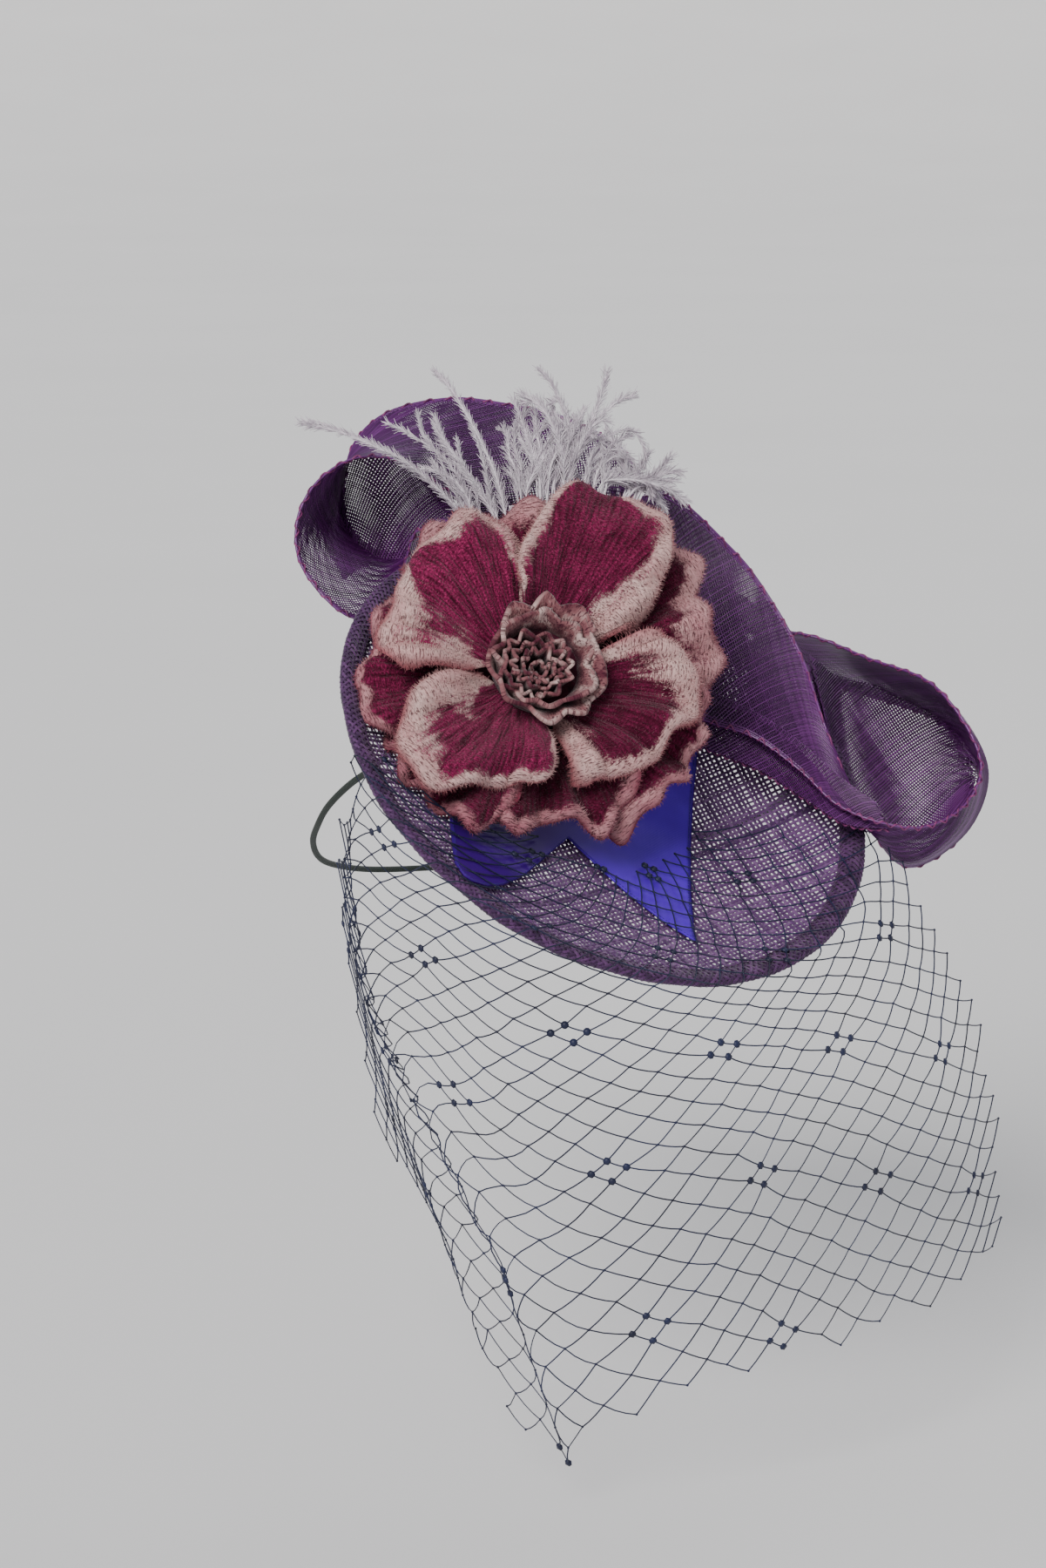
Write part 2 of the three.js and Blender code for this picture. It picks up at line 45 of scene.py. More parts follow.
# Saucer, its weave, its rolled binding and the flower's place
SAUCER = {"edge": 81.0, "depth": 17.0, "curve": 2.5, "wall": 1.2, "last_ring": 68.0}
SAUCER_TILT = {"heading": 17.6, "forward": 40.8}
FLOWER_TILT = {"heading": -52.3, "forward": 24.5}
FLOWER_PLACE = np.array([-19.5, 22.6, 34.0])
WEAVE = {"pitch": 1.55, "ways": (7.0, 84.0), "count": 62, "reach": 79.4, "lift": 0.17, "uneven": 0.13,
         "width": 0.86, "thickness": 0.26}
ROLL = {"inset": 1.8, "half_width": 3.45, "half_height": 1.55, "rounds": 200, "sides": 18,
        "threads": 250, "steps": 17, "bias": 2.9, "width": 0.80, "thickness": 0.24}

# Elastic: route from the saucer's right side round the back to its left side
ELASTIC_DIAMETER = 2.0
ELASTIC_GRID = {"rings": 260, "sides": 10, "girth": 6.3}
ELASTIC_ROUTE = [
    (-57, -3.1, 20.8), (-58.5, 2, 16), (-60, 14, 9), (-62, 30, 1), (-63, 48, -9), (-61, 66, -19),
    (-57, 84, -28), (-49, 104, -38), (-37, 124, -46), (-19, 143, -53), (4, 155, -57), (28, 157, -58),
    (52, 149, -56), (72, 134, -51), (86, 115, -44), (94, 94, -35), (95, 74, -25), (91, 56, -15),
    (83, 41, -6), (72, 29, 2), (62, 22.5, 7), (57, 20.2, 11.6),
]

# Crin strips: near and far edge, in the saucer's frame
CRIN_BOW = 2.5
CRIN_THREAD = {"pitch": 0.80, "front": 0.205, "back": 0.19, "fold": 0.24, "stitching": 0.34}
CRIN_EDGE = 0.004
CRIN_CORDS = ((0.0, 2.2), (0.014, 1.5), (0.03, 1.3), (0.97, 1.3), (0.986, 1.5), (1.0, 2.2))
CRIN_LEFT = [
    ((-14, 44, 6.5), (8, 52, 9)), ((-24, 84, 26), (14, 94, 25)), ((-26.5, 79, 6), (6, 100, 6)),
    ((-49.3, 68.6, 8.3), (-12, 101, -5)), ((-57, 88, 10), (-19, 115, -6)), ((-55, 100, 16), (-17, 127, 1)),
    ((-47, 108, 23), (-12, 135, 9)), ((-34, 111, 29), (-4, 137, 18)), ((-23, 106, 32), (13, 133, 27)),
    ((-12, 96, 30), (26, 125, 32)), ((0, 83, 27), (44, 112, 36)), ((14, 62, 20), (54, 90, 38)),
    ((6, 46, 12), (30, 54, 16)),
]
CRIN_RIGHT = [
    ((14, 26, 3.7), (31, 40, 7.8)), ((29, 20, 16), (51, 77, 41.5)), ((41, 5, 19), (69, 52, 39)),
    ((48, -6, 24), (74, 36, 36)), ((55, -22, 26), (75, 15, 33)), ((58, -37, 28), (70, -13, 29)),
    ((64, -49, 33), (77, -41, 16)), ((75, -55, 36), (95, -48, 4)), ((88, -54, 42), (117, -43, 10)),
    ((96, -46, 49), (127, -29, 19)), ((96, -19, 52), (127, -8, 18)), ((95, 8, 36), (122, 15, 5)),
    ((88, 25, 28), (111, 29, 0)), ((74, 31, 25), (86, 41, 20)), ((54, 36, 18), (66, 52, 25)),
    ((34, 42, 10), (45, 55, 17)),
]

# Inner folds of the crin: inside each loop, and under the fan's front edge
FOLD_IN_LEFT = [
    ((-31, 95, -8), (-30, 114, -7)), ((-22, 98, -6), (-20, 128, 1)), ((-14, 95, -3), (-9, 131, 11)),
    ((-6, 91, 4), (-1, 117, 15)), ((1, 90, 12), (3, 101, 17)),
]
FOLD_IN_RIGHT = [
    ((71, -18, 24), (86, 21, 24)), ((77, -31, 10), (106, 19, 12)), ((90, -37, 6), (120, 11, 13)),
    ((104, -40, 6), (126, -2, 19)), ((117, -38, 11), (127, -15, 23)), ((125, -32, 16), (127, -27, 21)),
]
FOLD_UNDER_FAN = [
    ((20, 18, 7), (26, 30, 12)), ((29, 13, 11), (35, 29, 18)), ((40, -2, 14), (46, 13, 22)),
    ((48, -14, 18), (53, 2, 25)), ((55, -29, 21), (60, -12, 27)), ((60, -43, 25), (64, -28, 29)),
    ((67, -51, 31), (69, -42, 31)),
]

# Satin ribbon tail, laid in the dish, and the outline of its fishtail end across its width
RIBBON = {"width": 76.0, "heading": -124.5, "corner": (41.0, 1.0), "start": -14.0, "slope": 0.4,
          "wall": 0.55, "above_dish": 1.25, "tip_lift": 1.5}
RIBBON_GRID = (56, 61)
RIBBON_STITCH = {"spacing": 1.1, "length": 0.8, "thickness": 0.34}
RIBBON_END = {
    "shares": (0, 0.50, 0.554, 0.622, 0.682, 0.782, 0.865, 0.93, 0.97, 1),
    "reach": (78.5, 47.5, 54.5, 64.0, 72.5, 84.0, 90.5, 93.2, 92.6, 87.5),
}

# Velvet petals, a row each: azimuth, how much painted shade darkens the heart (most on the petals on the right,
# away from the light), half spread in degrees, length, cup, curl, how pink the pale border is, then the
# outline's reach at seven places from the right side to the left, and the border's width round the outline
PETAL_COLUMNS = ("azimuth", "painted_shade", "spread", "length", "cup", "curl", "blush", "reach", "border")
PETAL_GRID = (50, 91)
PETAL_ROOT = 5.4
PETAL_HEART = np.array([-0.5, -4.2])
BORDER_PLACES = (-150, -115, -80, -50, -20, 0, 20, 50, 80, 115, 150)
NAP_FIBRES = {"density": 1.5e6, "length": 1.15, "thickness": 0.2}
UPPER_LAYER = {"base": 1.5, "side": 2.0, "ruffle": 1.6, "lap": 1.6, "frill": 1.7, "wavy": 1.0}
PETALS_UPPER = [
    (97, 0.55, 43, 52, 10, 3.5, 0.25,
     (0.80, 0.92, 1.14, 1.09, 1.05, 0.86, 0.70), (3, 8, 11.5, 12, 5.5, 0.3, 0.8, 7.5, 3, 0.3, 0.2)),
    (176, 0.0, 45, 47, 10, 4.0, 0.30,
     (1.15, 1.12, 1.05, 1.0, 1.0, 1.14, 1.24), (0.2, 0.3, 2.0, 6, 2.6, 0.3, 4, 10, 10, 8, 4)),
    (262, 0.3, 41, 45, 10, 3.5, 0.22,
     (0.95, 1.12, 1.22, 1.19, 1.0, 0.97, 1.08), (0.8, 2.8, 8.5, 12, 9.5, 5.5, 4, 2.8, 1, 0.3, 0.2)),
    (359, 1.05, 48, 46, 10, 4.0, 0.35,
     (1.18, 0.92, 0.94, 0.93, 1.02, 1.02, 1.0), (1, 6.5, 8.5, 4.8, 3.2, 3, 7.5, 11, 6.5, 2, 0.3)),
]
LOWER_LAYER = {"base": -5, "side": 0.6, "ruffle": 2.2, "lap": 2.2, "frill": 2.5, "wavy": 1.7}
PETALS_LOWER = [
    (57, 0.8, 36, 55, 8, 2.5, 0.25,
     (1.15, 1.04, 1.0, 0.99, 1.10, 1.10, 1.05), (0.5, 1.5, 5, 8.5, 10, 9, 7, 5, 2, 0.6, 0.3)),
    (357, 0.4, 34, 54, 7, 2.0, 0.55,
     (1.30, 1.08, 0.96, 0.94, 0.98, 0.98, 1.10), (0.4, 1.2, 3, 3.8, 3.6, 2.6, 3.2, 3.5, 2, 0.6, 0.3)),
    (307, 0.9, 34, 54, 7, 2.0, 0.6,
     (1.25, 1.02, 0.92, 0.89, 0.95, 0.97, 1.10), (0.4, 1.2, 3.4, 4.2, 4, 3.6, 4, 3.8, 2, 0.6, 0.3)),
    (260, 0.6, 30, 51, 8, 2.0, 0.8,
     (1.2, 1.12, 1.07, 1.08, 1.10, 1.14, 1.2), (0.4, 1.2, 2.8, 3.4, 3, 2.6, 3, 3.4, 2, 0.6, 0.3)),
    (216, 0.0, 38, 52, 8, 2.0, 0.7,
     (1.1, 1.0, 0.97, 1.03, 1.05, 1.10, 1.2), (0.6, 1, 2.2, 2.5, 2.2, 2.2, 3, 3.5, 2.5, 1, 0.6)),
    (144, 0.6, 42, 54, 8, 2.5, 0.45,
     (1.0, 0.95, 0.92, 0.90, 0.94, 1.0, 1.15), (1, 3, 5, 7, 7, 6, 6, 6, 4, 2, 1)),
]

# Flower centre: its disc, the bound stem and the rows of frill from the middle outwards, each with its radius
# at the start and end, turns, first angle, height, waves a turn, their swing, flare, seed and shift
CENTRE = {"frill_seat": 6.0, "disc_seat": 7.0, "disc_radius": 15.5, "outer_rows": 4}
STEM = {"radius": 5.0, "length": 31.6, "sides": 32, "winds": 60, "groove": 0.22}
FRILL_GRID = {"steps_a_wave": 18, "rows": 7}
FRILL_ROWS = [
    (1.4, 2.6, 1.1, 0.4, 6.4, 5, 0.8, 0.2, 1, (0.2, -1.8)),
    (4.0, 4.9, 1.05, 2.6, 7.6, 10, 1.1, 0.2, 2, (-0.1, -1.9)),
    (6.4, 7.0, 1.05, 3.9, 8.1, 13, 1.2, 0.3, 3, (-0.4, -1.9)),
    (8.6, 9.1, 1.04, 5.2, 8.4, 13, 1.35, 0.6, 4, (-0.7, -1.7)),
    (11.6, 12.2, 1.04, 1.9, 8.6, 9, 1.9, 2.2, 6, (0.0, 0.0)),
    (12.6, 13.2, 1.04, 1.1, 8.0, 8, 2.0, 4.4, 5, (0.0, 0.0)),
]

# Plume tufts, in the saucer's frame: where each is tied, where it spreads and the paths of its main fronds
PLUME_DOWN = np.array([0.0, -0.653, -0.757])
FROND = {"steps": 34, "barbs": 2.7, "shortest": 3.6, "longest": 6.8, "radius": 0.18}
TUFTS = {
    "feather_tuft_left": {
        "root": (-12.8, 31.2, 21.9), "fan": (1, 79, 38),
        "fronds": [
            [(-10.6, 80.9, 29.9), (-17.7, 91.4, 34.4), (-27, 99.7, 38.5), (-34, 111, 36.5),
             (-42.4, 120.0, 34.4), (-47.2, 123.0, 33.2)],
            [(-8.9, 80.8, 31.1), (-10.1, 89.2, 36.5), (-14.5, 98.3, 40.2), (-20.1, 107.1, 40.5),
             (-25.5, 113.9, 39.7)],
            [(-3.2, 79.3, 34.6), (-9.5, 93.5, 40.3), (-12.6, 101.5, 42.4), (-13.8, 109.5, 45.7)],
            [(-1, 78.8, 36.2), (-1.9, 88, 42), (-5.3, 102.2, 48.5), (-7.3, 115.4, 51.1), (-9.1, 122.3, 51.4)],
            [(-3.9, 80.1, 34.5), (-3.9, 85.9, 38.6), (-4.5, 94, 44.3), (-5.4, 101.5, 48)],
            [(-9.9, 81.3, 30.7), (-12.4, 88.3, 34.5), (-15.9, 94, 37.2), (-17.6, 98, 38.9)],
            [(-6.9, 80.9, 32.7), (-7.4, 88, 37.5), (-9.8, 95.1, 41.2), (-9.8, 100.7, 44.2)],
            [(-10.2, 85, 34.0), (-13.2, 91.4, 36.4), (-16, 101.2, 40.5), (-17.3, 107.7, 41.6),
             (-17.8, 112.0, 44.3)],
        ],
    },
    "feather_tuft_right": {
        "root": (-8.9, 27.9, 22.6), "fan": (16, 74, 44),
        "fronds": [
            [(5.9, 82.7, 38.8), (7.8, 88, 42.3), (9.5, 97.7, 44.4), (13.4, 103.6, 47.7), (15.3, 105.3, 49.8)],
            [(10.1, 84.2, 43.6), (12, 92.1, 46.3), (13.4, 100.4, 47.3), (13.2, 109.5, 50.4)],
            [(7.2, 82.1, 39.9), (10.5, 87.2, 44.7), (15.4, 91.2, 49.3), (19.1, 93.4, 53.1), (21.2, 92, 55.3)],
            [(16.7, 79.4, 47.9), (20.3, 89.8, 54), (21.9, 105.3, 58.7), (19.8, 112.0, 60.0)],
            [(13, 79.4, 44.6), (17.2, 85.2, 50.4), (21.5, 90.7, 55.3), (26, 95, 60)],
            [(16, 77.6, 46.2), (19.7, 83.5, 52), (26.3, 90.4, 58.8), (31.5, 96.9, 65.1), (34, 101.4, 68.6)],
            [(16.8, 78.2, 47.3), (21.7, 85.9, 54.2), (27.3, 89.8, 59.4), (33.6, 91.4, 66.9),
             (36.2, 90.3, 69.8)],
            [(21.3, 75.4, 49.2), (24, 81.2, 53.9), (29.8, 84.5, 59.1), (35.2, 83, 62.6),
             (37.6, 77.3, 60.9), (36.7, 73.2, 58.5)],
            [(33.9, 67.2, 53.3), (34.8, 71.8, 56.4), (38.3, 75.3, 60.4)],
            [(25.4, 73.3, 50.9), (27, 78.6, 54.5), (31.2, 82.2, 58.9), (34.4, 82.4, 61.4)],
            [(31.8, 69.1, 52.7), (31.8, 74.2, 55.4), (31.5, 80.1, 58), (29.9, 84.9, 59.3)],
            [(35.2, 67.7, 54.5), (39.4, 69.5, 59), (43, 71.3, 62.8)],
            [(26.1, 73.4, 51.3), (32.2, 71.8, 54.5), (37.6, 68.4, 56.9), (42.5, 65, 59.3)],
            [(32.1, 67.8, 52.2), (36.5, 66.8, 55.2), (40.2, 63.8, 57.1), (42.9, 58.1, 58.4)],
            [(10.4, 82.1, 43.3), (14.3, 85.5, 47.9), (19.5, 88.4, 53), (23.1, 92, 56.9)],
            [(11.3, 79.8, 43.1), (12.6, 85.9, 46.5), (15.1, 96.4, 48.9), (17.1, 104.1, 51.7)],
            [(12.2, 80.4, 44.2), (15.2, 86.8, 48.9), (19.5, 91.6, 53.4), (20.1, 101.9, 55.6)],
            [(11.0, 84, 43.5), (13.5, 95.6, 47.4), (18.2, 98.7, 52.3), (18.3, 104.7, 53.8),
             (15.2, 107.9, 50.8)],
        ],
    },
}

# Veil: rim angle on the saucer, mid-fall and hem, then the net's cells, dots and fold
VEIL_CREST = {"radius": 85.4, "height": 22.4}
VEIL_INNER = {"radius": 63.0, "above_dish": 2.4, "rise": 0.6}
VEIL_FALL = [
    (172, (-69, 19, -25), (-52, 31, -115)), (190, (-69, -12, -54), (-45, -13, -132)),
    (206, (-63, -46, -70), (-38, -53, -176)), (222, (-47, -78, -83), (-28, -76, -178)),
    (244, (-22, -93, -83), (-4, -82, -160)), (266, (9, -94, -82), (28, -80, -155)),
    (290, (49, -78, -81), (66, -69, -156)), (312, (86, -58, -79), (104, -48, -150)),
    (329, (119, -27, -78), (129, -22, -152)),
]
NET_CELL = 7.5
NET_THREAD = {"radius": 0.21, "sides": 4, "sag": 0.25, "knot": 0.85}
NET_SHEET = {"middle": -15, "half_width": 190, "low": -190, "high": 95, "uneven": 0.28}
NET_SEARCH = {"rounds": 60, "aside": 0.004, "below": 0.5, "pace": 0.7, "least_scale": 20,
              "most_across": 0.08, "most_drop": 15, "drops": (-70, 150), "close": 0.5}
NET_WAYS = (-23.0, 50.0)
NET_SPAN = {"fall": 124.0, "hem": 121.0, "over_dish": 54.0}
NET_AXIS = {"x": 30.0, "y": 10.0, "radius": 100.0}
NET_OPENED = {"from": -5.0, "share": 0.36, "slowly": 25.0}
NET_START = np.array([-17.5, -110.7])
NET_DOTS = {"first_way": 5, "second_way": 6, "drawn": 0.3, "shape": (3.0, 3.0, 1.2)}
NET_FOLD = {"drops": (0, 35, 56, 70, 86, 124), "across": (0.05, 0.10, 0.17, 0.28, 0.345, 0.375),
            "width": 0.075, "draw": 0.82, "ridge": 5.0}

# Camera at the photograph's viewing angle, floor and lamps
CAMERA = {"lens": 85.0, "sensor": 36.0, "azimuth": -20.0, "elevation": 12.0, "distance": 1080.0}
CAMERA_TARGET = np.array([-16.16, 6.50, 2.73])
FLOOR_HEIGHT = -186.0
FLOOR_PROFILE = [(0.0, 0.0), (2500.0, 0.0), (6000.0, 0.0), (7200.0, 110.0), (8300.0, 420.0), (9300.0, 980.0),
                 (10000.0, 1700.0), (10300.0, 2600.0)]
SKY = {"colour": (0.86, 0.88, 0.92, 1), "strength": 0.40}
LAMP_SPREAD = 35.0
LAMPS = [
    ("key", (-0.80, -0.72, 0.95), 3.1, (1.0, 0.97, 0.93)),
    ("rim", (0.9, 0.75, 0.85), 0.9, (0.94, 0.96, 1.0)),
]


# Frames and curves

def turned(axis, degrees):
    c, s = math.cos(math.radians(degrees)), math.sin(math.radians(degrees))
    if axis == "z":
        return np.array([[c, -s, 0], [s, c, 0], [0, 0, 1]])
    return np.array([[1, 0, 0], [0, c, -s], [0, s, c]])


SAUCER_TURN = turned("z", SAUCER_TILT["heading"]) @ turned("x", SAUCER_TILT["forward"])
FLOWER_TURN = turned("z", FLOWER_TILT["heading"]) @ turned("x", FLOWER_TILT["forward"])


def from_saucer(points):
    return np.asarray(points, float) @ SAUCER_TURN.T


def from_flower(points):
    return from_saucer(np.asarray(points, float) @ FLOWER_TURN.T + FLOWER_PLACE)


def smoothstep(value, low, high):
    share = np.clip((value - low) / (high - low), 0, 1)
    return share * share * (3 - 2 * share)


def unit(vectors):
    return vectors / np.maximum(np.linalg.norm(vectors, axis=-1, keepdims=True), 1e-9)


def heading_of(degrees):
    return np.array([math.cos(math.radians(degrees)), math.sin(math.radians(degrees))])


def round_points(radius, angle, height):
    return np.stack([radius * np.cos(angle), radius * np.sin(angle), height + 0 * angle], axis=-1)


def full_circle(count):
    return np.linspace(0, FULL_TURN, count, endpoint=False)


def share_grid(rows, columns):
    """Shares from 0 to 1 along the rows and across the columns of a grid"""
    return np.meshgrid(np.linspace(0, 1, rows), np.linspace(0, 1, columns), indexing="ij")


def run_lengths(path):
    """Distance along a path at each of its points"""
    return np.concatenate([[0], np.cumsum(np.linalg.norm(np.diff(path, axis=0), axis=1))])


def dish_height(radius):
    return SAUCER["depth"] * (radius / SAUCER["edge"]) ** SAUCER["curve"]


def dish_slope(radius):
    edge, curve = SAUCER["edge"], SAUCER["curve"]
    return curve * SAUCER["depth"] / edge * (radius / edge) ** (curve - 1)


def dish_top(radius):
    return dish_height(radius) + SAUCER["wall"]


def steps_between(padded, last, shares):
    """The four padded values round each share of a run, and how far it lies between the middle two"""
    place = np.clip(np.asarray(shares, float) * last, 0, last)
    index = np.minimum(place.astype(int), last - 1)
    return [padded[index + k] for k in range(4)], place - index


def cubic(p1, p2, leave, reach, weight):
    square = 3 * (p2 - p1) - 2 * leave - reach
    cube = 2 * (p1 - p2) + leave + reach
    return p1 + leave * weight + square * weight ** 2 + cube * weight ** 3


def smooth_path(points, shares):
    """Points at the shares of a smooth curve through the given points"""
    points = np.asarray(points, float)
    padded = np.vstack([2 * points[0] - points[1], points, 2 * points[-1] - points[-2]])
    (p0, p1, p2, p3), weight = steps_between(padded, len(points) - 1, shares)
    d0, d1, d2 = (np.sum((b - a) ** 2, axis=1)[:, None] ** 0.25 for a, b in ((p0, p1), (p1, p2), (p2, p3)))
    leave = ((p1 - p0) / d0 - (p2 - p0) / (d0 + d1) + (p2 - p1) / d1) * d1
    reach = ((p2 - p1) / d1 - (p3 - p1) / (d1 + d2) + (p3 - p2) / d2) * d1
    return cubic(p1, p2, leave, reach, weight[:, None])


def smooth_values(values, shares):
    """Numbers at the shares of a smooth run through the given numbers"""
    values = np.asarray(values, float)
    padded = np.concatenate([values[:1], values, values[-1:]])
    (p0, p1, p2, p3), weight = steps_between(padded, len(values) - 1, shares)
    return cubic(p1, p2, (p2 - p0) / 2, (p3 - p1) / 2, weight)


# Meshes

def plain_piece(name, points, faces=(), edges=(), attributes=None, uv=None, finish=None):
    mesh = bpy.data.meshes.new(name)
    mesh.from_pydata((np.asarray(points) * MM).tolist(), [list(e) for e in edges], [list(f) for f in faces])
    for label, values in (attributes or {}).items():
        values = np.asarray(values, np.float32)
        vectors = values.ndim == 2
        layer = mesh.attributes.new(label, "FLOAT_VECTOR" if vectors else "FLOAT", "POINT")
        layer.data.foreach_set("vector" if vectors else "value", values.ravel())
    if uv is not None:
        corners = np.empty(len(mesh.loops), np.int32)
        mesh.loops.foreach_get("vertex_index", corners)
        layer = mesh.uv_layers.new(name="Cloth")
        layer.data.foreach_set("uv", np.asarray(uv, np.float32)[corners].ravel())
    if finish:
        mesh.materials.append(finish)
    mesh.polygons.foreach_set("use_smooth", [True] * len(mesh.polygons))
    mesh.update()
    piece = bpy.data.objects.new(name, mesh)
    bpy.context.scene.collection.objects.link(piece)
    return piece


def grid_faces(rows, columns, round_rows=False, round_columns=False):
    """Four-cornered faces of a grid of points, closed round its rows or columns where asked"""
    index = np.arange(rows * columns).reshape(rows, columns)
    below = np.roll(index, -1, axis=0)
    faces = np.stack([index, below, np.roll(below, -1, axis=1), np.roll(index, -1, axis=1)], axis=-1)
    return faces[:rows - (not round_rows), :columns - (not round_columns)].reshape(-1, 4)


def turned_shape(profile, sides):
    """Points and faces of a profile of radii and heights, turned round the upright axis"""
    points = [round_points(radius, full_circle(sides), height) for radius, height in profile]
    return np.concatenate(points), grid_faces(len(profile), sides, round_columns=True)


def cloth_skin(points, thickness):
    """Closed skin round a grid of points: its corners and faces"""
    rows, columns = points.shape[:2]
    count = rows * columns
    normal = unit(np.cross(np.gradient(points, axis=0), np.gradient(points, axis=1)))
    half = np.broadcast_to(np.asarray(thickness, float), (rows, columns))[..., None] / 2
    corners = np.concatenate([(points + normal * half).reshape(-1, 3), (points - normal * half).reshape(-1, 3)])
    index = np.arange(count).reshape(rows, columns)
    top = grid_faces(rows, columns)
    ring = np.concatenate([index[:, 0], index[-1, 1:], index[-2::-1, -1], index[0, -2:0:-1]])
    onward = np.roll(ring, -1)
    edge = np.stack([ring, ring + count, onward + count, onward], axis=-1)
    return corners, np.concatenate([top, top[:, ::-1] + count, edge])


def lines_piece(name, lines):
    """Edges along each line of points, with the line's own values at its points"""
    edges, start = [], 0
    attributes = {label: [] for label in lines[0] if label != "points"}
    for line in lines:
        count = len(line["points"])
        places = np.arange(start, start + count)
        edges.append(np.stack([places[:-1], places[1:]], axis=1))
        start += count
        for label, values in attributes.items():
            shape = (count, 3) if label == "facing" else (count,)
            values.append(np.broadcast_to(np.asarray(line[label], float), shape))
    points = np.concatenate([line["points"] for line in lines])
    attributes = {label: np.concatenate(values) for label, values in attributes.items()}
    return plain_piece(name, points, edges=np.concatenate(edges), attributes=attributes)


def joined(name, pieces):
    """One piece out of several, each keeping its finish"""
    with bpy.context.temp_override(active_object=pieces[0], selected_editable_objects=pieces):
        bpy.ops.object.join()
    pieces[0].name = name
    pieces[0].data.name = name
    return pieces[0]


# Geometry node trees

def pattern_tree(name, sizes):
    """A tree with named inputs for its sizes and its finish"""
    tree = bpy.data.node_groups.new(name, "GeometryNodeTree")
    tree.interface.new_socket("Geometry", in_out="INPUT", socket_type="NodeSocketGeometry")
    for label in sizes:
        kind = "NodeSocketInt" if label in ("Sides", "Seed") else "NodeSocketFloat"
        tree.interface.new_socket(label, in_out="INPUT", socket_type=kind)
    tree.interface.new_socket("Finish", in_out="INPUT", socket_type="NodeSocketMaterial")
    tree.interface.new_socket("Geometry", in_out="OUTPUT", socket_type="NodeSocketGeometry")
    return tree, tree.nodes.new("NodeGroupInput").outputs, tree.nodes.new("NodeGroupOutput").inputs


def step(tree, kind, links, **settings):
    made = tree.nodes.new(kind)
    for label, value in settings.items():
        setattr(made, label, value)
    for label, value in links.items():
        value = value.socket if isinstance(value, Field) else value
        if isinstance(value, bpy.types.NodeSocket):
            tree.links.new(value, made.inputs[label])
        else:
            made.inputs[label].default_value = value
    return made


def own_value(tree, label, kind="FLOAT"):
    return step(tree, "GeometryNodeInputNamedAttribute", {"Name": label}, data_type=kind).outputs["Attribute"]


def finished(tree, shape, given, result):
    whole = step(tree, "GeometryNodeRealizeInstances", {"Geometry": shape.outputs[0]})
    smooth = step(tree, "GeometryNodeSetShadeSmooth", {"Geometry": whole.outputs[0]})
    covered = step(tree, "GeometryNodeSetMaterial", {
        "Geometry": smooth.outputs[0], "Material": given["Finish"]})
    tree.links.new(covered.outputs[0], result["Geometry"])
    return tree


def strand_tree(name, section, links, laid=False):
    """Strands swept along the lines; laid ones are flat and face their own way"""
    tree, given, result = pattern_tree(name, list(links.values()))
    path = step(tree, "GeometryNodeMeshToCurve", {"Mesh": given["Geometry"]})
    if laid:
        facing = own_value(tree, "facing", "FLOAT_VECTOR")
        path = step(tree, "GeometryNodeSetCurveNormal", {
            "Curve": path.outputs[0], "Normal": facing}, mode="FREE")
    profile = step(tree, section, {label: given[source] for label, source in links.items()})
    swept = step(tree, "GeometryNodeCurveToMesh", {
        "Curve": path.outputs[0], "Profile Curve": profile.outputs[0],
        "Scale": own_value(tree, "fullness"), "Fill Caps": True})
    return finished(tree, swept, given, result)


def placed_on(tree, points, shape, turn, size):
    return step(tree, "GeometryNodeInstanceOnPoints", {
        "Points": points, "Instance": shape.outputs[0], "Rotation": turn.outputs[0], "Scale": size.outputs[0]})


def stitch_tree():
    tree, given, result = pattern_tree("stitches", ["Spacing", "Length", "Thickness"])
    path = step(tree, "GeometryNodeMeshToCurve", {"Mesh": given["Geometry"]})
    spaced = step(tree, "GeometryNodeResampleCurve", {
        "Curve": path.outputs[0], "Length": given["Spacing"]}, mode="LENGTH")
    bead = step(tree, "GeometryNodeMeshIcoSphere", {"Radius": 0.5, "Subdivisions": 1})
    along = step(tree, "GeometryNodeInputTangent", {})
    turn = step(tree, "FunctionNodeAxesToRotation", {
        "Primary Axis": along.outputs[0], "Secondary Axis": own_value(tree, "facing", "FLOAT_VECTOR")},
        primary_axis="X", secondary_axis="Z")
    size = step(tree, "ShaderNodeCombineXYZ", {
        "X": given["Length"], "Y": given["Thickness"], "Z": given["Thickness"]})
    return finished(tree, placed_on(tree, spaced.outputs[0], bead, turn, size), given, result)


def knot_tree():
    tree, given, result = pattern_tree("knots", ["Size"])
    bead = step(tree, "GeometryNodeMeshIcoSphere", {"Radius": 0.5, "Subdivisions": 1})
    turn = step(tree, "FunctionNodeAxesToRotation", {
        "Primary Axis": own_value(tree, "facing", "FLOAT_VECTOR"), "Secondary Axis": (0.0, 0.0, 1.0)},
        primary_axis="Z", secondary_axis="Y")
    size = step(tree, "ShaderNodeVectorMath", {
        0: own_value(tree, "shape", "FLOAT_VECTOR"), "Scale": given["Size"]}, operation="SCALE")
    return finished(tree, placed_on(tree, given["Geometry"], bead, turn, size), given, result)


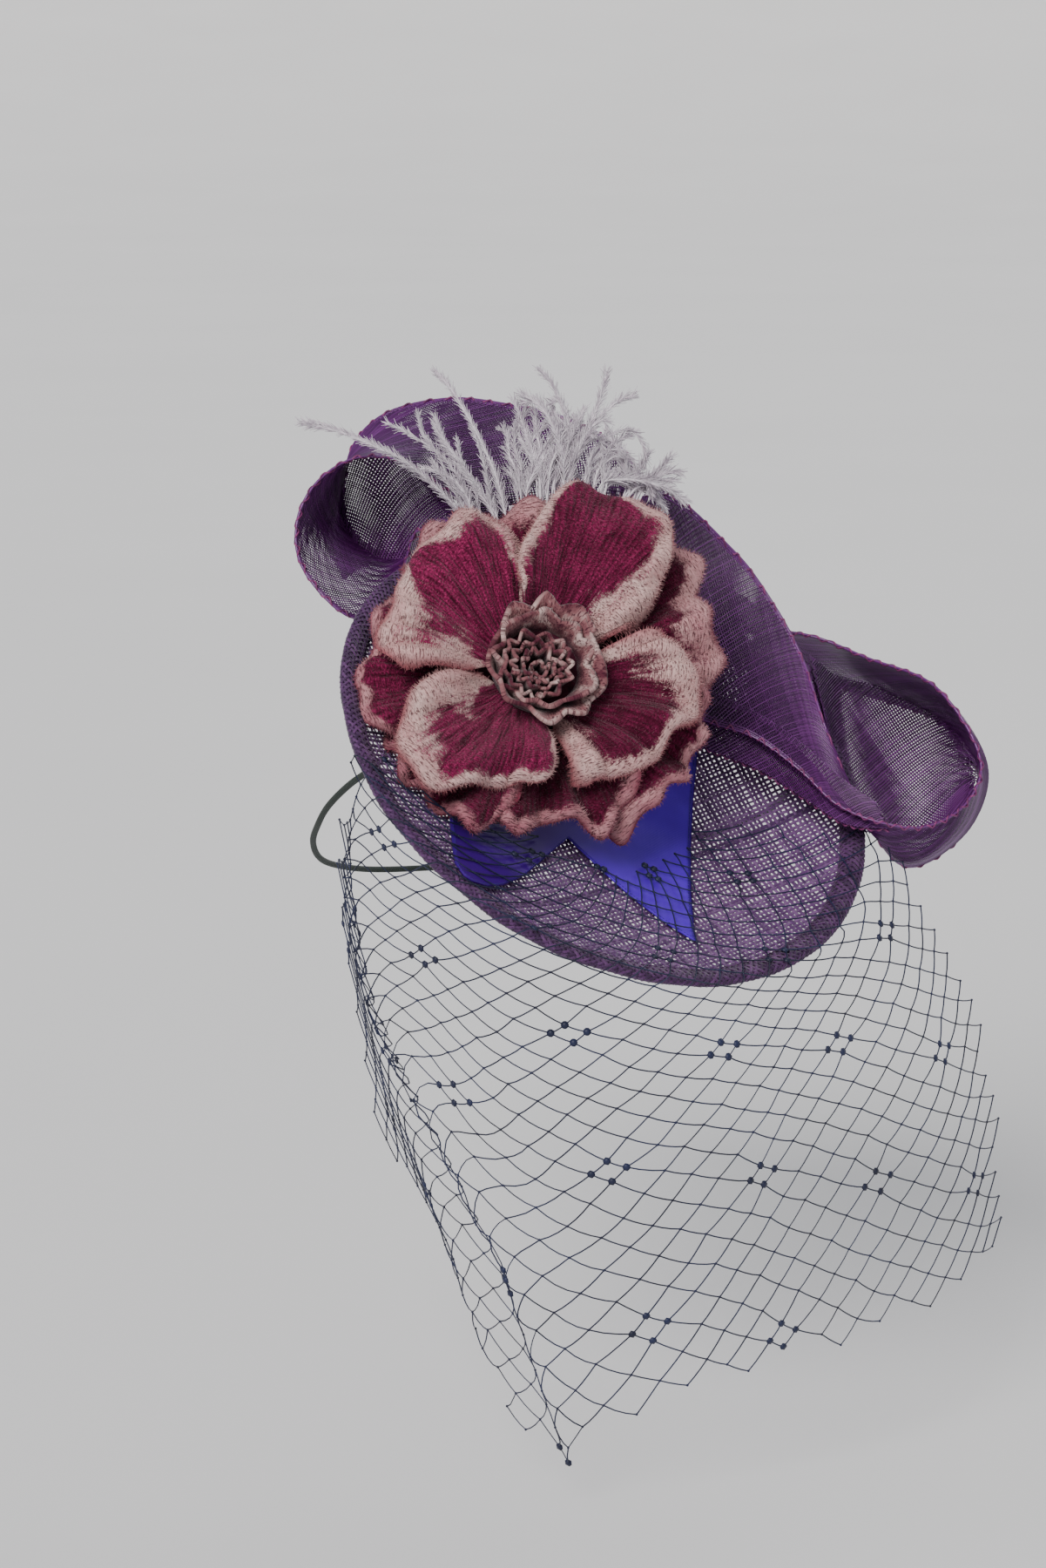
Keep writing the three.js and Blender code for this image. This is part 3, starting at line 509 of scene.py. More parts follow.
def nap_tree():
    tree, given, result = pattern_tree("velvet_nap", ["Density", "Length", "Thickness", "Seed"])
    spots = step(tree, "GeometryNodeDistributePointsOnFaces", {
        "Mesh": given["Geometry"], "Density Max": given["Density"], "Density Factor": own_value(tree, "nap"),
        "Distance Min": 0.0, "Seed": given["Seed"]}, distribute_method="POISSON")
    fibre = step(tree, "GeometryNodeMeshCone", {
        "Vertices": 3, "Radius Top": 0.1, "Radius Bottom": 0.5, "Depth": 1.0}, fill_type="NONE")
    lean = step(tree, "FunctionNodeRandomValue", {
        0: (-0.55, -0.55, -0.55), 1: (0.55, 0.55, 0.55), "Seed": given["Seed"]}, data_type="FLOAT_VECTOR")
    outward = step(tree, "ShaderNodeVectorMath", {
        0: spots.outputs["Normal"], 1: lean.outputs[0]}, operation="ADD")
    turn = step(tree, "FunctionNodeAlignRotationToVector", {"Vector": outward.outputs[0]}, axis="Z")
    size = step(tree, "ShaderNodeCombineXYZ", {
        "X": given["Thickness"], "Y": given["Thickness"], "Z": given["Length"]})
    return finished(tree, placed_on(tree, spots.outputs["Points"], fibre, turn, size), given, result)


def patterned(piece, tree, finish, **sizes):
    """The piece as a plain mesh of what the tree makes on it"""
    values = {label.capitalize(): value for label, value in sizes.items()} | {"Finish": finish}
    modifier = piece.modifiers.new("Pattern", "NODES")
    modifier.node_group = tree
    for socket in tree.interface.items_tree:
        if socket.in_out == "INPUT" and socket.name in values:
            modifier[socket.identifier] = values[socket.name]
    bpy.context.view_layer.update()
    shape = piece.evaluated_get(bpy.context.evaluated_depsgraph_get())
    mesh = bpy.data.meshes.new_from_object(shape)
    piece.modifiers.remove(modifier)
    source = piece.data
    piece.data = mesh
    bpy.data.meshes.remove(source)
    mesh.name = piece.name
    return piece


# Finishes

class Field:
    """A value in a shader's node tree, and sums worked out with it"""

    def __init__(self, tree, socket):
        self.tree, self.socket = tree, socket

    def sum(self, operation, first, second=0.0):
        made = step(self.tree, "ShaderNodeMath", {0: first, 1: second}, operation=operation)
        return Field(self.tree, made.outputs[0])

    def __add__(self, other):
        return self.sum("ADD", self, other)

    def __sub__(self, other):
        return self.sum("SUBTRACT", self, other)

    def __rsub__(self, other):
        return self.sum("SUBTRACT", other, self)

    def __mul__(self, other):
        return self.sum("MULTIPLY", self, other)

    def sine(self):
        return self.sum("SINE", self)

    def or_larger(self, other):
        return self.sum("MAXIMUM", self, other)


class Cloth:
    """A cloth's material: what is the same all over stands on its shader, and the rest is linked to it"""

    def __init__(self, name, **constants):
        self.material = bpy.data.materials.new(name)
        self.material.use_nodes = True
        self.tree = self.material.node_tree
        self.surface = self.tree.nodes["Principled BSDF"]
        for label, value in constants.items():
            self.surface.inputs[label.replace("_", " ")].default_value = value

    def field(self, kind, links, output=0, **settings):
        return Field(self.tree, step(self.tree, kind, links, **settings).outputs[output])

    def value(self, label):
        return self.field("ShaderNodeAttribute", {}, "Fac", attribute_name=label)

    def plane(self, scale=(1, 1, 1), turn=0.0):
        """The cloth's own flat coordinates"""
        flat = self.field("ShaderNodeUVMap", {}, uv_map="Cloth")
        return self.field("ShaderNodeMapping", {"Vector": flat, "Scale": scale, "Rotation": (0, 0, turn)})

    def space(self):
        """The piece's own coordinates"""
        return self.field("ShaderNodeMapping", {"Vector": self.field("ShaderNodeTexCoord", {}, "Object")})

    def noise(self, vector, scale, detail=3.0, roughness=0.55):
        return self.field("ShaderNodeTexNoise", {
            "Vector": vector, "Scale": scale, "Detail": detail, "Roughness": roughness})

    def wave(self, vector, scale, direction="X", distortion=0.0):
        return self.field("ShaderNodeTexWave", {"Vector": vector, "Scale": scale, "Distortion": distortion},
                          "Fac", wave_type="BANDS", bands_direction=direction)

    def level(self, factor, low, high):
        return self.field("ShaderNodeMapRange", {
            "Value": factor, "From Min": low, "From Max": high}, clamp=True)

    def ramp(self, factor, stops):
        made = step(self.tree, "ShaderNodeValToRGB", {"Fac": factor})
        elements = made.color_ramp.elements
        while len(elements) < len(stops):
            elements.new(0.5)
        for element, (place, colour) in zip(elements, stops):
            element.position = place
            element.color = (*colour, 1.0)
        return Field(self.tree, made.outputs["Color"])

    def blend(self, factor, first, second):
        first, second = ((*end, 1.0) if isinstance(end, tuple) else end for end in (first, second))
        return self.field("ShaderNodeMix", {0: factor, 6: first, 7: second}, 2, data_type="RGBA")

    def coloured(self, colour):
        self.tree.links.new(colour.socket, self.surface.inputs["Base Color"])

    def bumped(self, height, strength, distance):
        made = step(self.tree, "ShaderNodeBump", {"Height": height, "Strength": strength, "Distance": distance})
        self.tree.links.new(made.outputs[0], self.surface.inputs["Normal"])


def toned(colour, share):
    return tuple(share * c for c in colour)


def patchy_finish(name, stops, scale, detail=2.0, dye=None, grain=None, **constants):
    """A finish coloured by patches and, with two shares, by each strand's own dye as well"""
    cloth = Cloth(name, **constants)
    shade = cloth.noise(cloth.space(), scale, detail)
    if dye:
        shade = cloth.value("dye") * dye[0] + shade * dye[1]
    cloth.coloured(cloth.ramp(shade, stops))
    if grain:
        cloth.bumped(cloth.noise(cloth.space(), grain, 2.0), 0.35, 0.0004)
    return cloth.material


def sinamay_finish(name, deep, mid, light):
    return patchy_finish(name, [(0.15, deep), (0.5, mid), (0.95, light)], 900.0, dye=(0.7, 0.45), grain=5200.0,
                         Roughness=0.52, Specular_IOR_Level=0.4, Sheen_Weight=0.15)


def satin_finish():
    cloth = Cloth("violet_blue_satin", Roughness=0.42, Anisotropic=0.5, Specular_IOR_Level=0.14)
    patch = cloth.noise(cloth.plane(), 0.035)
    bright = cloth.ramp(patch, [
        (0.3, (0.064, 0.006, 0.40)), (0.55, (0.090, 0.011, 0.58)), (0.8, (0.122, 0.018, 0.72))])
    # Painted sheen and shade: the bright blues where the mask is high, on the right tail, and a darker blue on
    # the left tail
    colour = cloth.blend(cloth.value("painted_sheen_and_mottle"), (0.046, 0.003, 0.20), bright)
    border = cloth.level(cloth.value("selvedge"), 0.0, 1.6)
    cloth.coloured(cloth.blend(border, (0.036, 0.006, 0.18), colour))
    warp = cloth.wave(cloth.plane(), 0.55, "Y", 0.4)
    weft = cloth.wave(cloth.plane(), 0.9, "X", 0.6)
    cloth.bumped(warp + weft * 0.6, 0.12, 0.0002)
    return cloth.material


def pale_border(cloth, patch, cream, pink, rose):
    """The pale border's colour: creamy, blushing pink in patches and dusty rose at the very edge"""
    lean = (patch - 0.5) * 2.0
    blush = cloth.level(cloth.value("blush") + lean, -0.1, 1.1)
    edge = cloth.level(cloth.value("border") + lean * 0.15, 0.0, 0.30)
    return cloth.blend(edge, rose, cloth.blend(blush, cream, pink))


def velvet_finish(name, heart, glow, border_colours, under):
    cloth = Cloth(name, Roughness=0.88, Sheen_Weight=0.12, Sheen_Roughness=0.4, Specular_IOR_Level=0.12,
                  Sheen_Tint=(1.0, 0.80, 0.84, 1.0))
    plane = cloth.plane()
    patch = cloth.noise(plane, 0.13, 4.0, 0.65)
    fine = cloth.noise(plane, 1.9, 3.0, 0.75)

    # Crushed, pleated heart, with painted shade in the pleats' creases and specks of painted sheen at the top
    # of the crushed ramp
    across = cloth.field("ShaderNodeSeparateXYZ", {"Vector": plane}, "X")
    wrinkle = (cloth.noise(cloth.plane((1, 0.17, 1)), 0.60, 4.0, 0.62) - 0.5) * 5.0
    narrow = (across * 5.2 + wrinkle * 1.6).sine()
    fold = wrinkle * 0.75 + narrow * 0.28
    between = tuple(0.5 * (a + b) for a, b in zip(heart, glow))
    lit = tuple(min(1, 1.5 * c + 0.03) for c in glow)
    crushed = cloth.ramp(fine, [(0.36, heart), (0.48, between), (0.58, glow), (0.70, lit)])
    # Painted shade: the pleats' creases darken to half the heart colour
    groove = cloth.level(fold + fine * 0.6, -0.55, 0.5)
    # Random mottle of the crushed pile; its darker patches go into the painted shade below
    painted_sheen_and_mottle = cloth.level(cloth.noise(cloth.plane((1, 0.45, 1)), 0.32, 3.0, 0.6), 0.36, 0.62)
    pleated = cloth.blend(groove, toned(heart, 0.5), crushed)
    # Painted shade: the heart darkens on the petals turned away from the light, most on the right, with the
    # mottle's darker patches added
    painted_shade = cloth.value("painted_shade") * 0.55 + (1.0 - painted_sheen_and_mottle) * 0.35
    inside = cloth.blend(painted_shade, pleated, toned(heart, 0.55))

    # Pale, flecked border with a ragged inner edge
    fleck = cloth.level(cloth.noise(cloth.plane((1.0, 2.6, 1)), 0.95, 1.0, 0.5), 0.555, 0.64)
    flecked = cloth.blend(fleck * 0.72, pale_border(cloth, patch, *border_colours), toned(heart, 0.6))
    streak = cloth.noise(cloth.plane((1, 0.25, 1)), 0.6, 3.0, 0.6)
    ragged = (patch - 0.5) * 1.3 + ((streak - 0.5) * 0.9 + (fine - 0.5) * 1.5)
    inward = cloth.level(cloth.value("border") + ragged, 0.74, 1.16)

    face = cloth.blend(inward, flecked, inside)
    backing = cloth.blend(fine, toned(under, 0.6), under)
    cloth.coloured(cloth.blend(cloth.value("under"), face, backing))
    pile = cloth.noise(cloth.plane((0.6, 1.3, 1)), 2.6, 2.0, 0.6)
    cloth.bumped(pile * 0.7 + fold * inward * 0.7 - fleck * 0.5, 0.8, 0.0009)
    return cloth.material


def nap_finish(name, heart, border_colours):
    cloth = Cloth(name, Roughness=0.9, Sheen_Weight=0.2, Specular_IOR_Level=0.15)
    patch = cloth.noise(cloth.space(), 130.0)
    inward = cloth.level(cloth.value("border") + (patch - 0.5) * 1.2, 0.86, 1.1)
    cloth.coloured(cloth.blend(inward, pale_border(cloth, patch, *border_colours), heart))
    return cloth.material


def frill_finish():
    cloth = Cloth("pinked_velvet_frill", Roughness=0.9, Sheen_Weight=0.2, Sheen_Roughness=0.4,
                  Specular_IOR_Level=0.15)
    fine = cloth.noise(cloth.plane(), 1.5, 3.0, 0.7)
    patch = cloth.noise(cloth.plane(), 0.16, 3.0, 0.6)
    dark = cloth.ramp(fine, [(0.3, (0.014, 0.002, 0.006)), (0.7, (0.085, 0.010, 0.030))])
    pale = cloth.ramp(patch, [
        (0.36, (0.10, 0.022, 0.038)), (0.50, (0.25, 0.105, 0.115)), (0.64, (0.52, 0.37, 0.355))])
    specks = cloth.level(cloth.noise(cloth.plane((2.6, 1, 1)), 0.95, 1.0), 0.53, 0.62)
    flecked = cloth.blend(specks * 0.8, pale, (0.05, 0.008, 0.02))
    rise = cloth.value("rise") + (patch - 0.5) * 0.9
    cloth.coloured(cloth.blend(cloth.level(rise, 0.52, 0.98), dark, flecked))
    cloth.bumped(cloth.noise(cloth.plane(), 2.4, 2.0), 0.6, 0.0006)
    return cloth.material


def elastic_finish():
    cloth = Cloth("elastic_braid", Roughness=0.62, Specular_IOR_Level=0.3)
    left, right = (cloth.wave(cloth.plane(turn=turn), 0.55) for turn in (0.7, -0.7))
    braid = left.or_larger(right)
    cloth.coloured(cloth.ramp(braid, [(0.2, (0.004, 0.008, 0.006)), (0.9, (0.022, 0.034, 0.027))]))
    cloth.bumped(braid, 0.6, 0.0003)
    return cloth.material


FLAT_THREADS = strand_tree("flat_threads", "GeometryNodeCurvePrimitiveQuadrilateral",
                           {"Height": "Width", "Width": "Thickness"}, laid=True)
ROUND_STRANDS = strand_tree("round_strands", "GeometryNodeCurvePrimitiveCircle",
                            {"Radius": "Radius", "Resolution": "Sides"})
STITCHES = stitch_tree()
KNOTS = knot_tree()
NAP = nap_tree()

# Cream, pink and rose of the petals' borders
UPPER_BORDER = (0.70, 0.49, 0.465), (0.51, 0.21, 0.23), (0.33, 0.092, 0.112)
LOWER_BORDER = (0.62, 0.36, 0.365), (0.34, 0.090, 0.135), (0.22, 0.040, 0.072)
SINAMAY = sinamay_finish(
    "purple_sinamay", (0.046, 0.010, 0.076), (0.112, 0.034, 0.155), (0.225, 0.105, 0.275))
BINDING = sinamay_finish(
    "purple_sinamay_bias", (0.018, 0.003, 0.030), (0.050, 0.010, 0.072), (0.115, 0.034, 0.145))
CRIN = patchy_finish(
    "crin_nylon", [(0.1, (0.036, 0.004, 0.052)), (0.5, (0.090, 0.010, 0.115)), (0.9, (0.18, 0.036, 0.225))],
    60.0, dye=(0.6, 0.5), Roughness=0.3, Specular_IOR_Level=0.65, Coat_Weight=0.2)
PICOT = patchy_finish(
    "crin_edge_stitching", [(0.35, (0.10, 0.012, 0.075)), (0.62, (0.24, 0.035, 0.16))], 420.0, Roughness=0.55)
SATIN = satin_finish()
SATIN_THREAD = patchy_finish(
    "violet_stitching", [(0.3, (0.012, 0.006, 0.12)), (0.7, (0.03, 0.014, 0.26))], 300.0, 3.0, Roughness=0.6)
VELVET = {
    "velvet_upper": velvet_finish(
        "wine_velvet_upper", (0.078, 0.002, 0.021), (0.39, 0.026, 0.128), UPPER_BORDER, (0.24, 0.10, 0.09)),
    "velvet_lower": velvet_finish(
        "wine_velvet_lower", (0.055, 0.002, 0.013), (0.25, 0.014, 0.080), LOWER_BORDER, (0.26, 0.12, 0.10)),
}
VELVET_NAP = {
    "velvet_upper": nap_finish("velvet_upper_nap", (0.16, 0.012, 0.050), UPPER_BORDER),
    "velvet_lower": nap_finish("velvet_lower_nap", (0.12, 0.008, 0.036), LOWER_BORDER),
}
FRILL = frill_finish()
PLUME = patchy_finish(
    "ostrich_plume", [(0.2, (0.46, 0.38, 0.46)), (0.5, (0.66, 0.59, 0.67)), (0.85, (0.84, 0.79, 0.85))],
    45.0, 3.0, dye=(0.55, 0.5), Roughness=0.7, Sheen_Weight=0.3, Specular_IOR_Level=0.3)
NET = patchy_finish(
    "navy_net_thread", [(0.35, (0.006, 0.008, 0.026)), (0.65, (0.012, 0.018, 0.062))],
    70.0, Roughness=0.5, Specular_IOR_Level=0.4)
ELASTIC = elastic_finish()
FLOOR = patchy_finish(
    "pale_floor", [(0.3, (0.76, 0.76, 0.77)), (0.7, (0.78, 0.78, 0.79))], 3.0,
    Roughness=0.9, Specular_IOR_Level=0.1)


def worn(piece, slot, *nodes):
    """The piece rides on the headpiece in place of the solids that it stands for, which are hidden; slot is not
    used
    """
    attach(piece, "root")
    if nodes:
        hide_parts(*nodes)
    return piece


# Camera, floor and soft light

def stood(name, data, back, place):
    """A camera or lamp at a place, looking away from the direction of its back"""
    thing = bpy.data.objects.new(name, data)
    bpy.context.scene.collection.objects.link(thing)
    side = unit(np.cross([0, 0, 1], back))
    matrix = np.eye(4)
    matrix[:3] = np.column_stack([side, np.cross(back, side), back, place])
    thing.matrix_world = Matrix(matrix.tolist())
    return thing


def set_camera():
    azimuth, elevation = math.radians(CAMERA["azimuth"]), math.radians(CAMERA["elevation"])
    level = math.cos(elevation)
    back = np.array([math.sin(azimuth) * level, -math.cos(azimuth) * level, math.sin(elevation)])
    data = bpy.data.cameras.new("camera")
    data.lens, data.sensor_width = CAMERA["lens"], CAMERA["sensor"]
    bpy.context.scene.camera = stood("camera", data, back, (CAMERA_TARGET + back * CAMERA["distance"]) * MM)


def set_floor():
    """A wide pale floor that sweeps up a little far away"""
    points, faces = turned_shape([(radius, height + FLOOR_HEIGHT) for radius, height in FLOOR_PROFILE], 72)
    plain_piece("pale_floor", points, faces=faces, finish=FLOOR)


def set_light():
    world = bpy.data.worlds.new("studio")
    world.use_nodes = True
    sky = world.node_tree.nodes["Background"].inputs
    sky["Color"].default_value, sky["Strength"].default_value = SKY["colour"], SKY["strength"]
    bpy.context.scene.world = world
    for name, place, power, colour in LAMPS:
        data = bpy.data.lights.new(name, "SUN")
        data.angle, data.energy, data.color = math.radians(LAMP_SPREAD), power, colour
        stood(name, data, unit(np.array(place)), place)


set_camera()
set_floor()
set_light()


# Elastic: braided round cord

def make_elastic():
    rings, columns = ELASTIC_GRID["rings"], ELASTIC_GRID["sides"] + 1
    path = smooth_path(ELASTIC_ROUTE, np.linspace(0, 1, rings))
    tangent = unit(np.gradient(path, axis=0))
    first = unit(np.cross(tangent, [0.3, 0.2, 1.0]))
    second = np.cross(tangent, first)
    lengths = run_lengths(path)
    angles = np.linspace(0, FULL_TURN, columns)[:, None]
    outward = first[:, None] * np.cos(angles) + second[:, None] * np.sin(angles)
    points = path[:, None] + outward * (ELASTIC_DIAMETER / 2)
    girth = np.linspace(0, ELASTIC_GRID["girth"], columns)
    uv = np.stack(np.broadcast_arrays(lengths[:, None], girth), axis=-1)
    ends = np.arange(rings * columns).reshape(rings, columns)[[0, -1], :-1]
    faces = grid_faces(rings, columns)[:, [0, 3, 2, 1]].tolist() + [ends[0, ::-1].tolist(), ends[1].tolist()]
    piece = plain_piece("elastic_cord", points.reshape(-1, 3), faces=faces, uv=uv.reshape(-1, 2),
                        finish=ELASTIC)
    worn(piece, "elastic", "elastic")
    tuple(path[0] * MM)
    [tuple(p) for p in path[::4] * MM] + [tuple(path[-1] * MM)]


make_elastic()


# Saucer: two sets of flat threads, over and under each other, on the dish's curve

def make_saucer():
    count = WEAVE["count"]
    steps = np.arange(-count, count + 1)
    ways = [heading_of(degrees) for degrees in WEAVE["ways"]]
    stride = WEAVE["pitch"] / math.sin(math.radians(WEAVE["ways"][1] - WEAVE["ways"][0]))
    offsets = [chance.normal(0, WEAVE["uneven"], 2 * count + 1) for _ in range(2)]
    lines = []
    for family in range(2):
        along = np.outer(steps * stride + offsets[1 - family], ways[family])
        for number, beside in zip(steps, steps * stride + offsets[family]):
            flat = along + beside * ways[1 - family]
            flat[:, 0] += 0.55 * np.sin(flat[:, 1] / 17 + 1.3) + 0.3 * np.sin(flat[:, 0] / 9 + flat[:, 1] / 13)
            flat[:, 1] += 0.5 * np.sin(flat[:, 0] / 19 + 0.4) + 0.3 * np.sin(flat[:, 1] / 10 - flat[:, 0] / 14)
            radius = np.hypot(flat[:, 0], flat[:, 1])
            inside = radius < WEAVE["reach"]
            if inside.sum() < 4:
                continue
            flat, radius, crossing = flat[inside], radius[inside], steps[inside]
            over = np.where((crossing + number + family) % 2 == 0, 1.0, -1.0)
            outward = flat / np.maximum(radius, 1e-6)[:, None]
            normal = unit(np.column_stack([-outward * dish_slope(radius)[:, None], np.ones(len(flat))]))
            middle = np.column_stack([flat, dish_height(radius) + SAUCER["wall"] / 2])
            middle = middle + normal * (WEAVE["lift"] * over)[:, None]
            thick = np.clip(chance.normal(1.0, 0.12), 0.7, 1.3)
            thick = thick + 0.10 * np.sin(crossing * chance.uniform(0.2, 0.5) + chance.uniform(0, 6))
            lines.append({"points": from_saucer(middle), "facing": from_saucer(normal), "fullness": thick,
                          "dye": chance.uniform(0.1, 0.95)})
    piece = lines_piece("saucer_weave", lines)
    patterned(piece, FLAT_THREADS, SINAMAY, width=WEAVE["width"] * MM, thickness=WEAVE["thickness"] * MM)
    worn(piece, "sinamay", "saucer")


make_saucer()


# Rim binding: a padded roll with bias threads wound round it

def binding_points(around, section, grow):
    """Points of the roll at angles round the saucer and round its section"""
    edge, last = SAUCER["edge"], SAUCER["last_ring"]
    slope = math.atan2(dish_height(edge) - dish_height(last), edge - last)
    along = -ROLL["inset"] + (ROLL["half_width"] + grow) * np.cos(section)
    across = (ROLL["half_height"] + grow) * np.sin(section)
    radius = edge + along * math.cos(slope) - across * math.sin(slope)
    height = dish_height(edge) + SAUCER["wall"] / 2 + along * math.sin(slope) + across * math.cos(slope)
    wobble = 0.25 * np.sin(9 * around + 1) + 0.2 * np.sin(23 * around)
    return from_saucer(round_points(radius, around, height + wobble))


def make_binding():
    rounds, sides, threads = ROLL["rounds"], ROLL["sides"], ROLL["threads"]
    around, section = np.meshgrid(full_circle(rounds), full_circle(sides), indexing="ij")
    core = binding_points(around, section, 0.0).reshape(-1, 3)
    roll = plain_piece("rim_roll_core", core, faces=grid_faces(rounds, sides, True, True),
                       attributes={"dye": np.full(len(core), 0.15)}, finish=BINDING)
    lines = []
    turns = np.linspace(0, FULL_TURN, ROLL["steps"])
    for way in (1, -1):
        grow = 0.20 + 0.10 * np.where((np.arange(ROLL["steps"]) + (way > 0)) % 2 == 0, 1, -1)
        for k in range(threads):
            bend = FULL_TURN * k / threads + way * turns * (ROLL["bias"] / SAUCER["edge"])
            points = binding_points(bend, turns, grow)
            lines.append({"points": points, "facing": unit(points - binding_points(bend, turns, -1.0)),
                          "fullness": chance.uniform(0.8, 1.2), "dye": chance.uniform(0.1, 0.95)})
    wound = lines_piece("rim_roll_threads", lines)
    patterned(wound, FLAT_THREADS, BINDING, width=ROLL["width"] * MM, thickness=ROLL["thickness"] * MM)
    worn(joined("rim_roll", [roll, wound]), "sinamay_binding", "rim_binding")


make_binding()


# Satin ribbon tail

def ribbon_points(along, across, raised=0.0):
    """Points of the ribbon at shares along and across it, and how far along it they lie"""
    forward = heading_of(RIBBON["heading"])
    leftward = np.array([forward[1], -forward[0]])
    beside = RIBBON["width"] * across
    start = RIBBON["start"] + RIBBON["slope"] * beside
    reach = start + (np.interp(across, RIBBON_END["shares"], RIBBON_END["reach"]) - start) * along
    flat = np.array(RIBBON["corner"]) + reach[..., None] * forward + beside[..., None] * leftward
    lift = RIBBON["tip_lift"] * smoothstep(across, 0.6, 1) * smoothstep(along, 0.5, 1)
    pucker = (0.22 * np.sin(reach / 7 + 2 * across) * np.sin(math.pi * across)
              + 0.12 * np.sin(reach / 3.1 + 9 * across))
    height = dish_top(np.linalg.norm(flat, axis=-1)) + RIBBON["above_dish"] + lift + pucker + raised
    return from_saucer(np.concatenate([flat, height[..., None]], axis=-1)), reach


def make_satin():
    along, across = share_grid(*RIBBON_GRID)
    points, reach = ribbon_points(along, across)
    corners, faces = cloth_skin(points, RIBBON["wall"])
    uv = np.stack([across * RIBBON["width"], reach], axis=-1).reshape(-1, 2)
    selvedge = (np.minimum(across, 1 - across) * RIBBON["width"]).ravel()
    # Painted sheen mask: 1 across the bright right tail, falling to 0 over the shaded left tail
    painted_sheen_and_mottle = (1 - smoothstep(across, 0.30, 0.62)).ravel()
    attributes = {"selvedge": np.tile(selvedge, 2), "painted_sheen_and_mottle": np.tile(painted_sheen_and_mottle, 2)}
    piece = plain_piece("satin_tail", corners, faces=faces, attributes=attributes, uv=np.tile(uv, (2, 1)),
                        finish=SATIN)
    side, end = np.linspace(0.02, 0.98, 60), np.linspace(0.01, 0.99, 70)
    edges = [(side, np.full(60, share), 0.32) for share in (0.012, 0.988)] + [(np.full(70, 0.992), end, 0.30)]
    stitches = lines_piece("satin_edge_stitches", [
        {"points": ribbon_points(*edge)[0], "facing": from_saucer([0, 0, 1])} for edge in edges])
    patterned(stitches, STITCHES, SATIN_THREAD, **{label: size * MM for label, size in RIBBON_STITCH.items()})
    worn(piece, "satin", "satin_ribbon")
    worn(stitches, "satin")


make_satin()


# Crin loops: bias braid of fine threads with corded, stitched edges

def strip_table(rows, count=900):
    """A strip's near edge, width, bow and length at closely spaced shares of its run"""
    shares = np.linspace(0, 1, count)
    near, far = (smooth_path([row[side] for row in rows], shares) for side in range(2))
    width = far - near
    bow = unit(np.cross(np.gradient(near, axis=0), width))
    return {"near": near, "width": width, "bow": bow, "shares": shares,
            "lengths": run_lengths(near + width / 2), "breadth": float(np.linalg.norm(width, axis=1).mean())}


def strip_points(table, distance, across, off=0.0):
    """Points of a strip at a distance along it and a share across it, lifted off it by a little"""
    share = np.interp(distance, table["lengths"], table["shares"])
    near, width, bow = (
        np.stack([np.interp(share, table["shares"], table[label][:, k]) for k in range(3)], axis=-1)
        for label in ("near", "width", "bow"))
    rise = off - CRIN_BOW * np.sin(math.pi * np.clip(across, 0, 1)) * np.sin(math.pi * share)
    return from_saucer(near + width * across[..., None] + bow * np.asarray(rise)[..., None])


def bias_lines(table, first, last, off):
    """The two sets of slanting threads of a strip, from one distance along it to another"""
    breadth = table["breadth"]
    across = np.linspace(0, 1, 13)
    lines = []
    for way in (1, -1):
        for start in np.arange(first - breadth, last, CRIN_THREAD["pitch"] * math.sqrt(2)):
            distance = start + breadth * (across if way > 0 else 1 - across)
            inside = (distance >= first) & (distance <= last)
            if inside.sum() < 2:
                continue
            points = strip_points(table, distance[inside], across[inside], off + 0.09 * way)
            lines.append({"points": points, "fullness": chance.uniform(0.85, 1.15),
                          "dye": chance.uniform(0.0, 1.0)})
    return lines


def cord_lines(table):
    """Gathering cords along a strip, each at its share across it"""
    run = np.arange(0, table["lengths"][-1], 2.5)
    return [{"points": strip_points(table, run, np.full(len(run), share)), "fullness": full, "dye": 0.8}
            for share, full in CRIN_CORDS]


def picot_lines(table, edges):
    """Stitching that winds along the edges of a strip"""
    run = np.arange(0, table["lengths"][-1], 0.55)
    ripple, sway = 0.5 / table["breadth"] * np.sin(run * 2.3), 0.55 * np.sin(run * 1.15 + 1.0)
    return [{"points": strip_points(table, run, share + ripple, sway), "fullness": 1.0} for share in edges]


def crin_piece(name, lines, radius, sides=3, finish=CRIN):
    return patterned(lines_piece(name, lines), ROUND_STRANDS, finish, radius=radius * MM, sides=sides)


def make_crin(name, rows, node, doubled, inner_rows, stitched_folds=()):
    table = strip_table(rows)
    total, breadth = float(table["lengths"][-1]), table["breadth"]
    mesh = crin_piece(name, bias_lines(table, 0.0, total, 0.0) + cord_lines(table), CRIN_THREAD["front"])
    tables = [strip_table(inner) for inner in inner_rows]
    folds = []
    for number, (first, last, off) in enumerate(doubled):
        layer = bias_lines(table, first * total, last * total, off)
        folds.append(crin_piece(f"{name}_back_layer_{number}", layer, CRIN_THREAD["back"]))
    for number, inner in enumerate(tables):
        end = float(inner["lengths"][-1])
        layers = [line for off in (0.0, 1.3) for line in bias_lines(inner, 0.0, end, off)]
        folds.append(crin_piece(f"{name}_inner_fold_{number}", layers, CRIN_THREAD["fold"]))
    edging = picot_lines(table, (CRIN_EDGE, 1 - CRIN_EDGE))
    for number in stitched_folds:
        edging += picot_lines(tables[number], (CRIN_EDGE,))
    picot = crin_piece(name + "_stitched_edge", edging, CRIN_THREAD["stitching"], 4, PICOT)
    worn(mesh, "crin", node)
    for piece in folds + [picot]:
        worn(piece, "crin")
    breadth * MM
    total * MM


make_crin("crin_left", CRIN_LEFT, "crin_loop_left", [(0.62, 1.0, -1.1)], [FOLD_IN_LEFT])
make_crin("crin_right", CRIN_RIGHT, "crin_loop_right", [(0.0, 0.36, -1.1), (0.0, 0.30, -2.0)],
          [FOLD_IN_RIGHT, FOLD_UNDER_FAN], (1,))


# Velvet petals

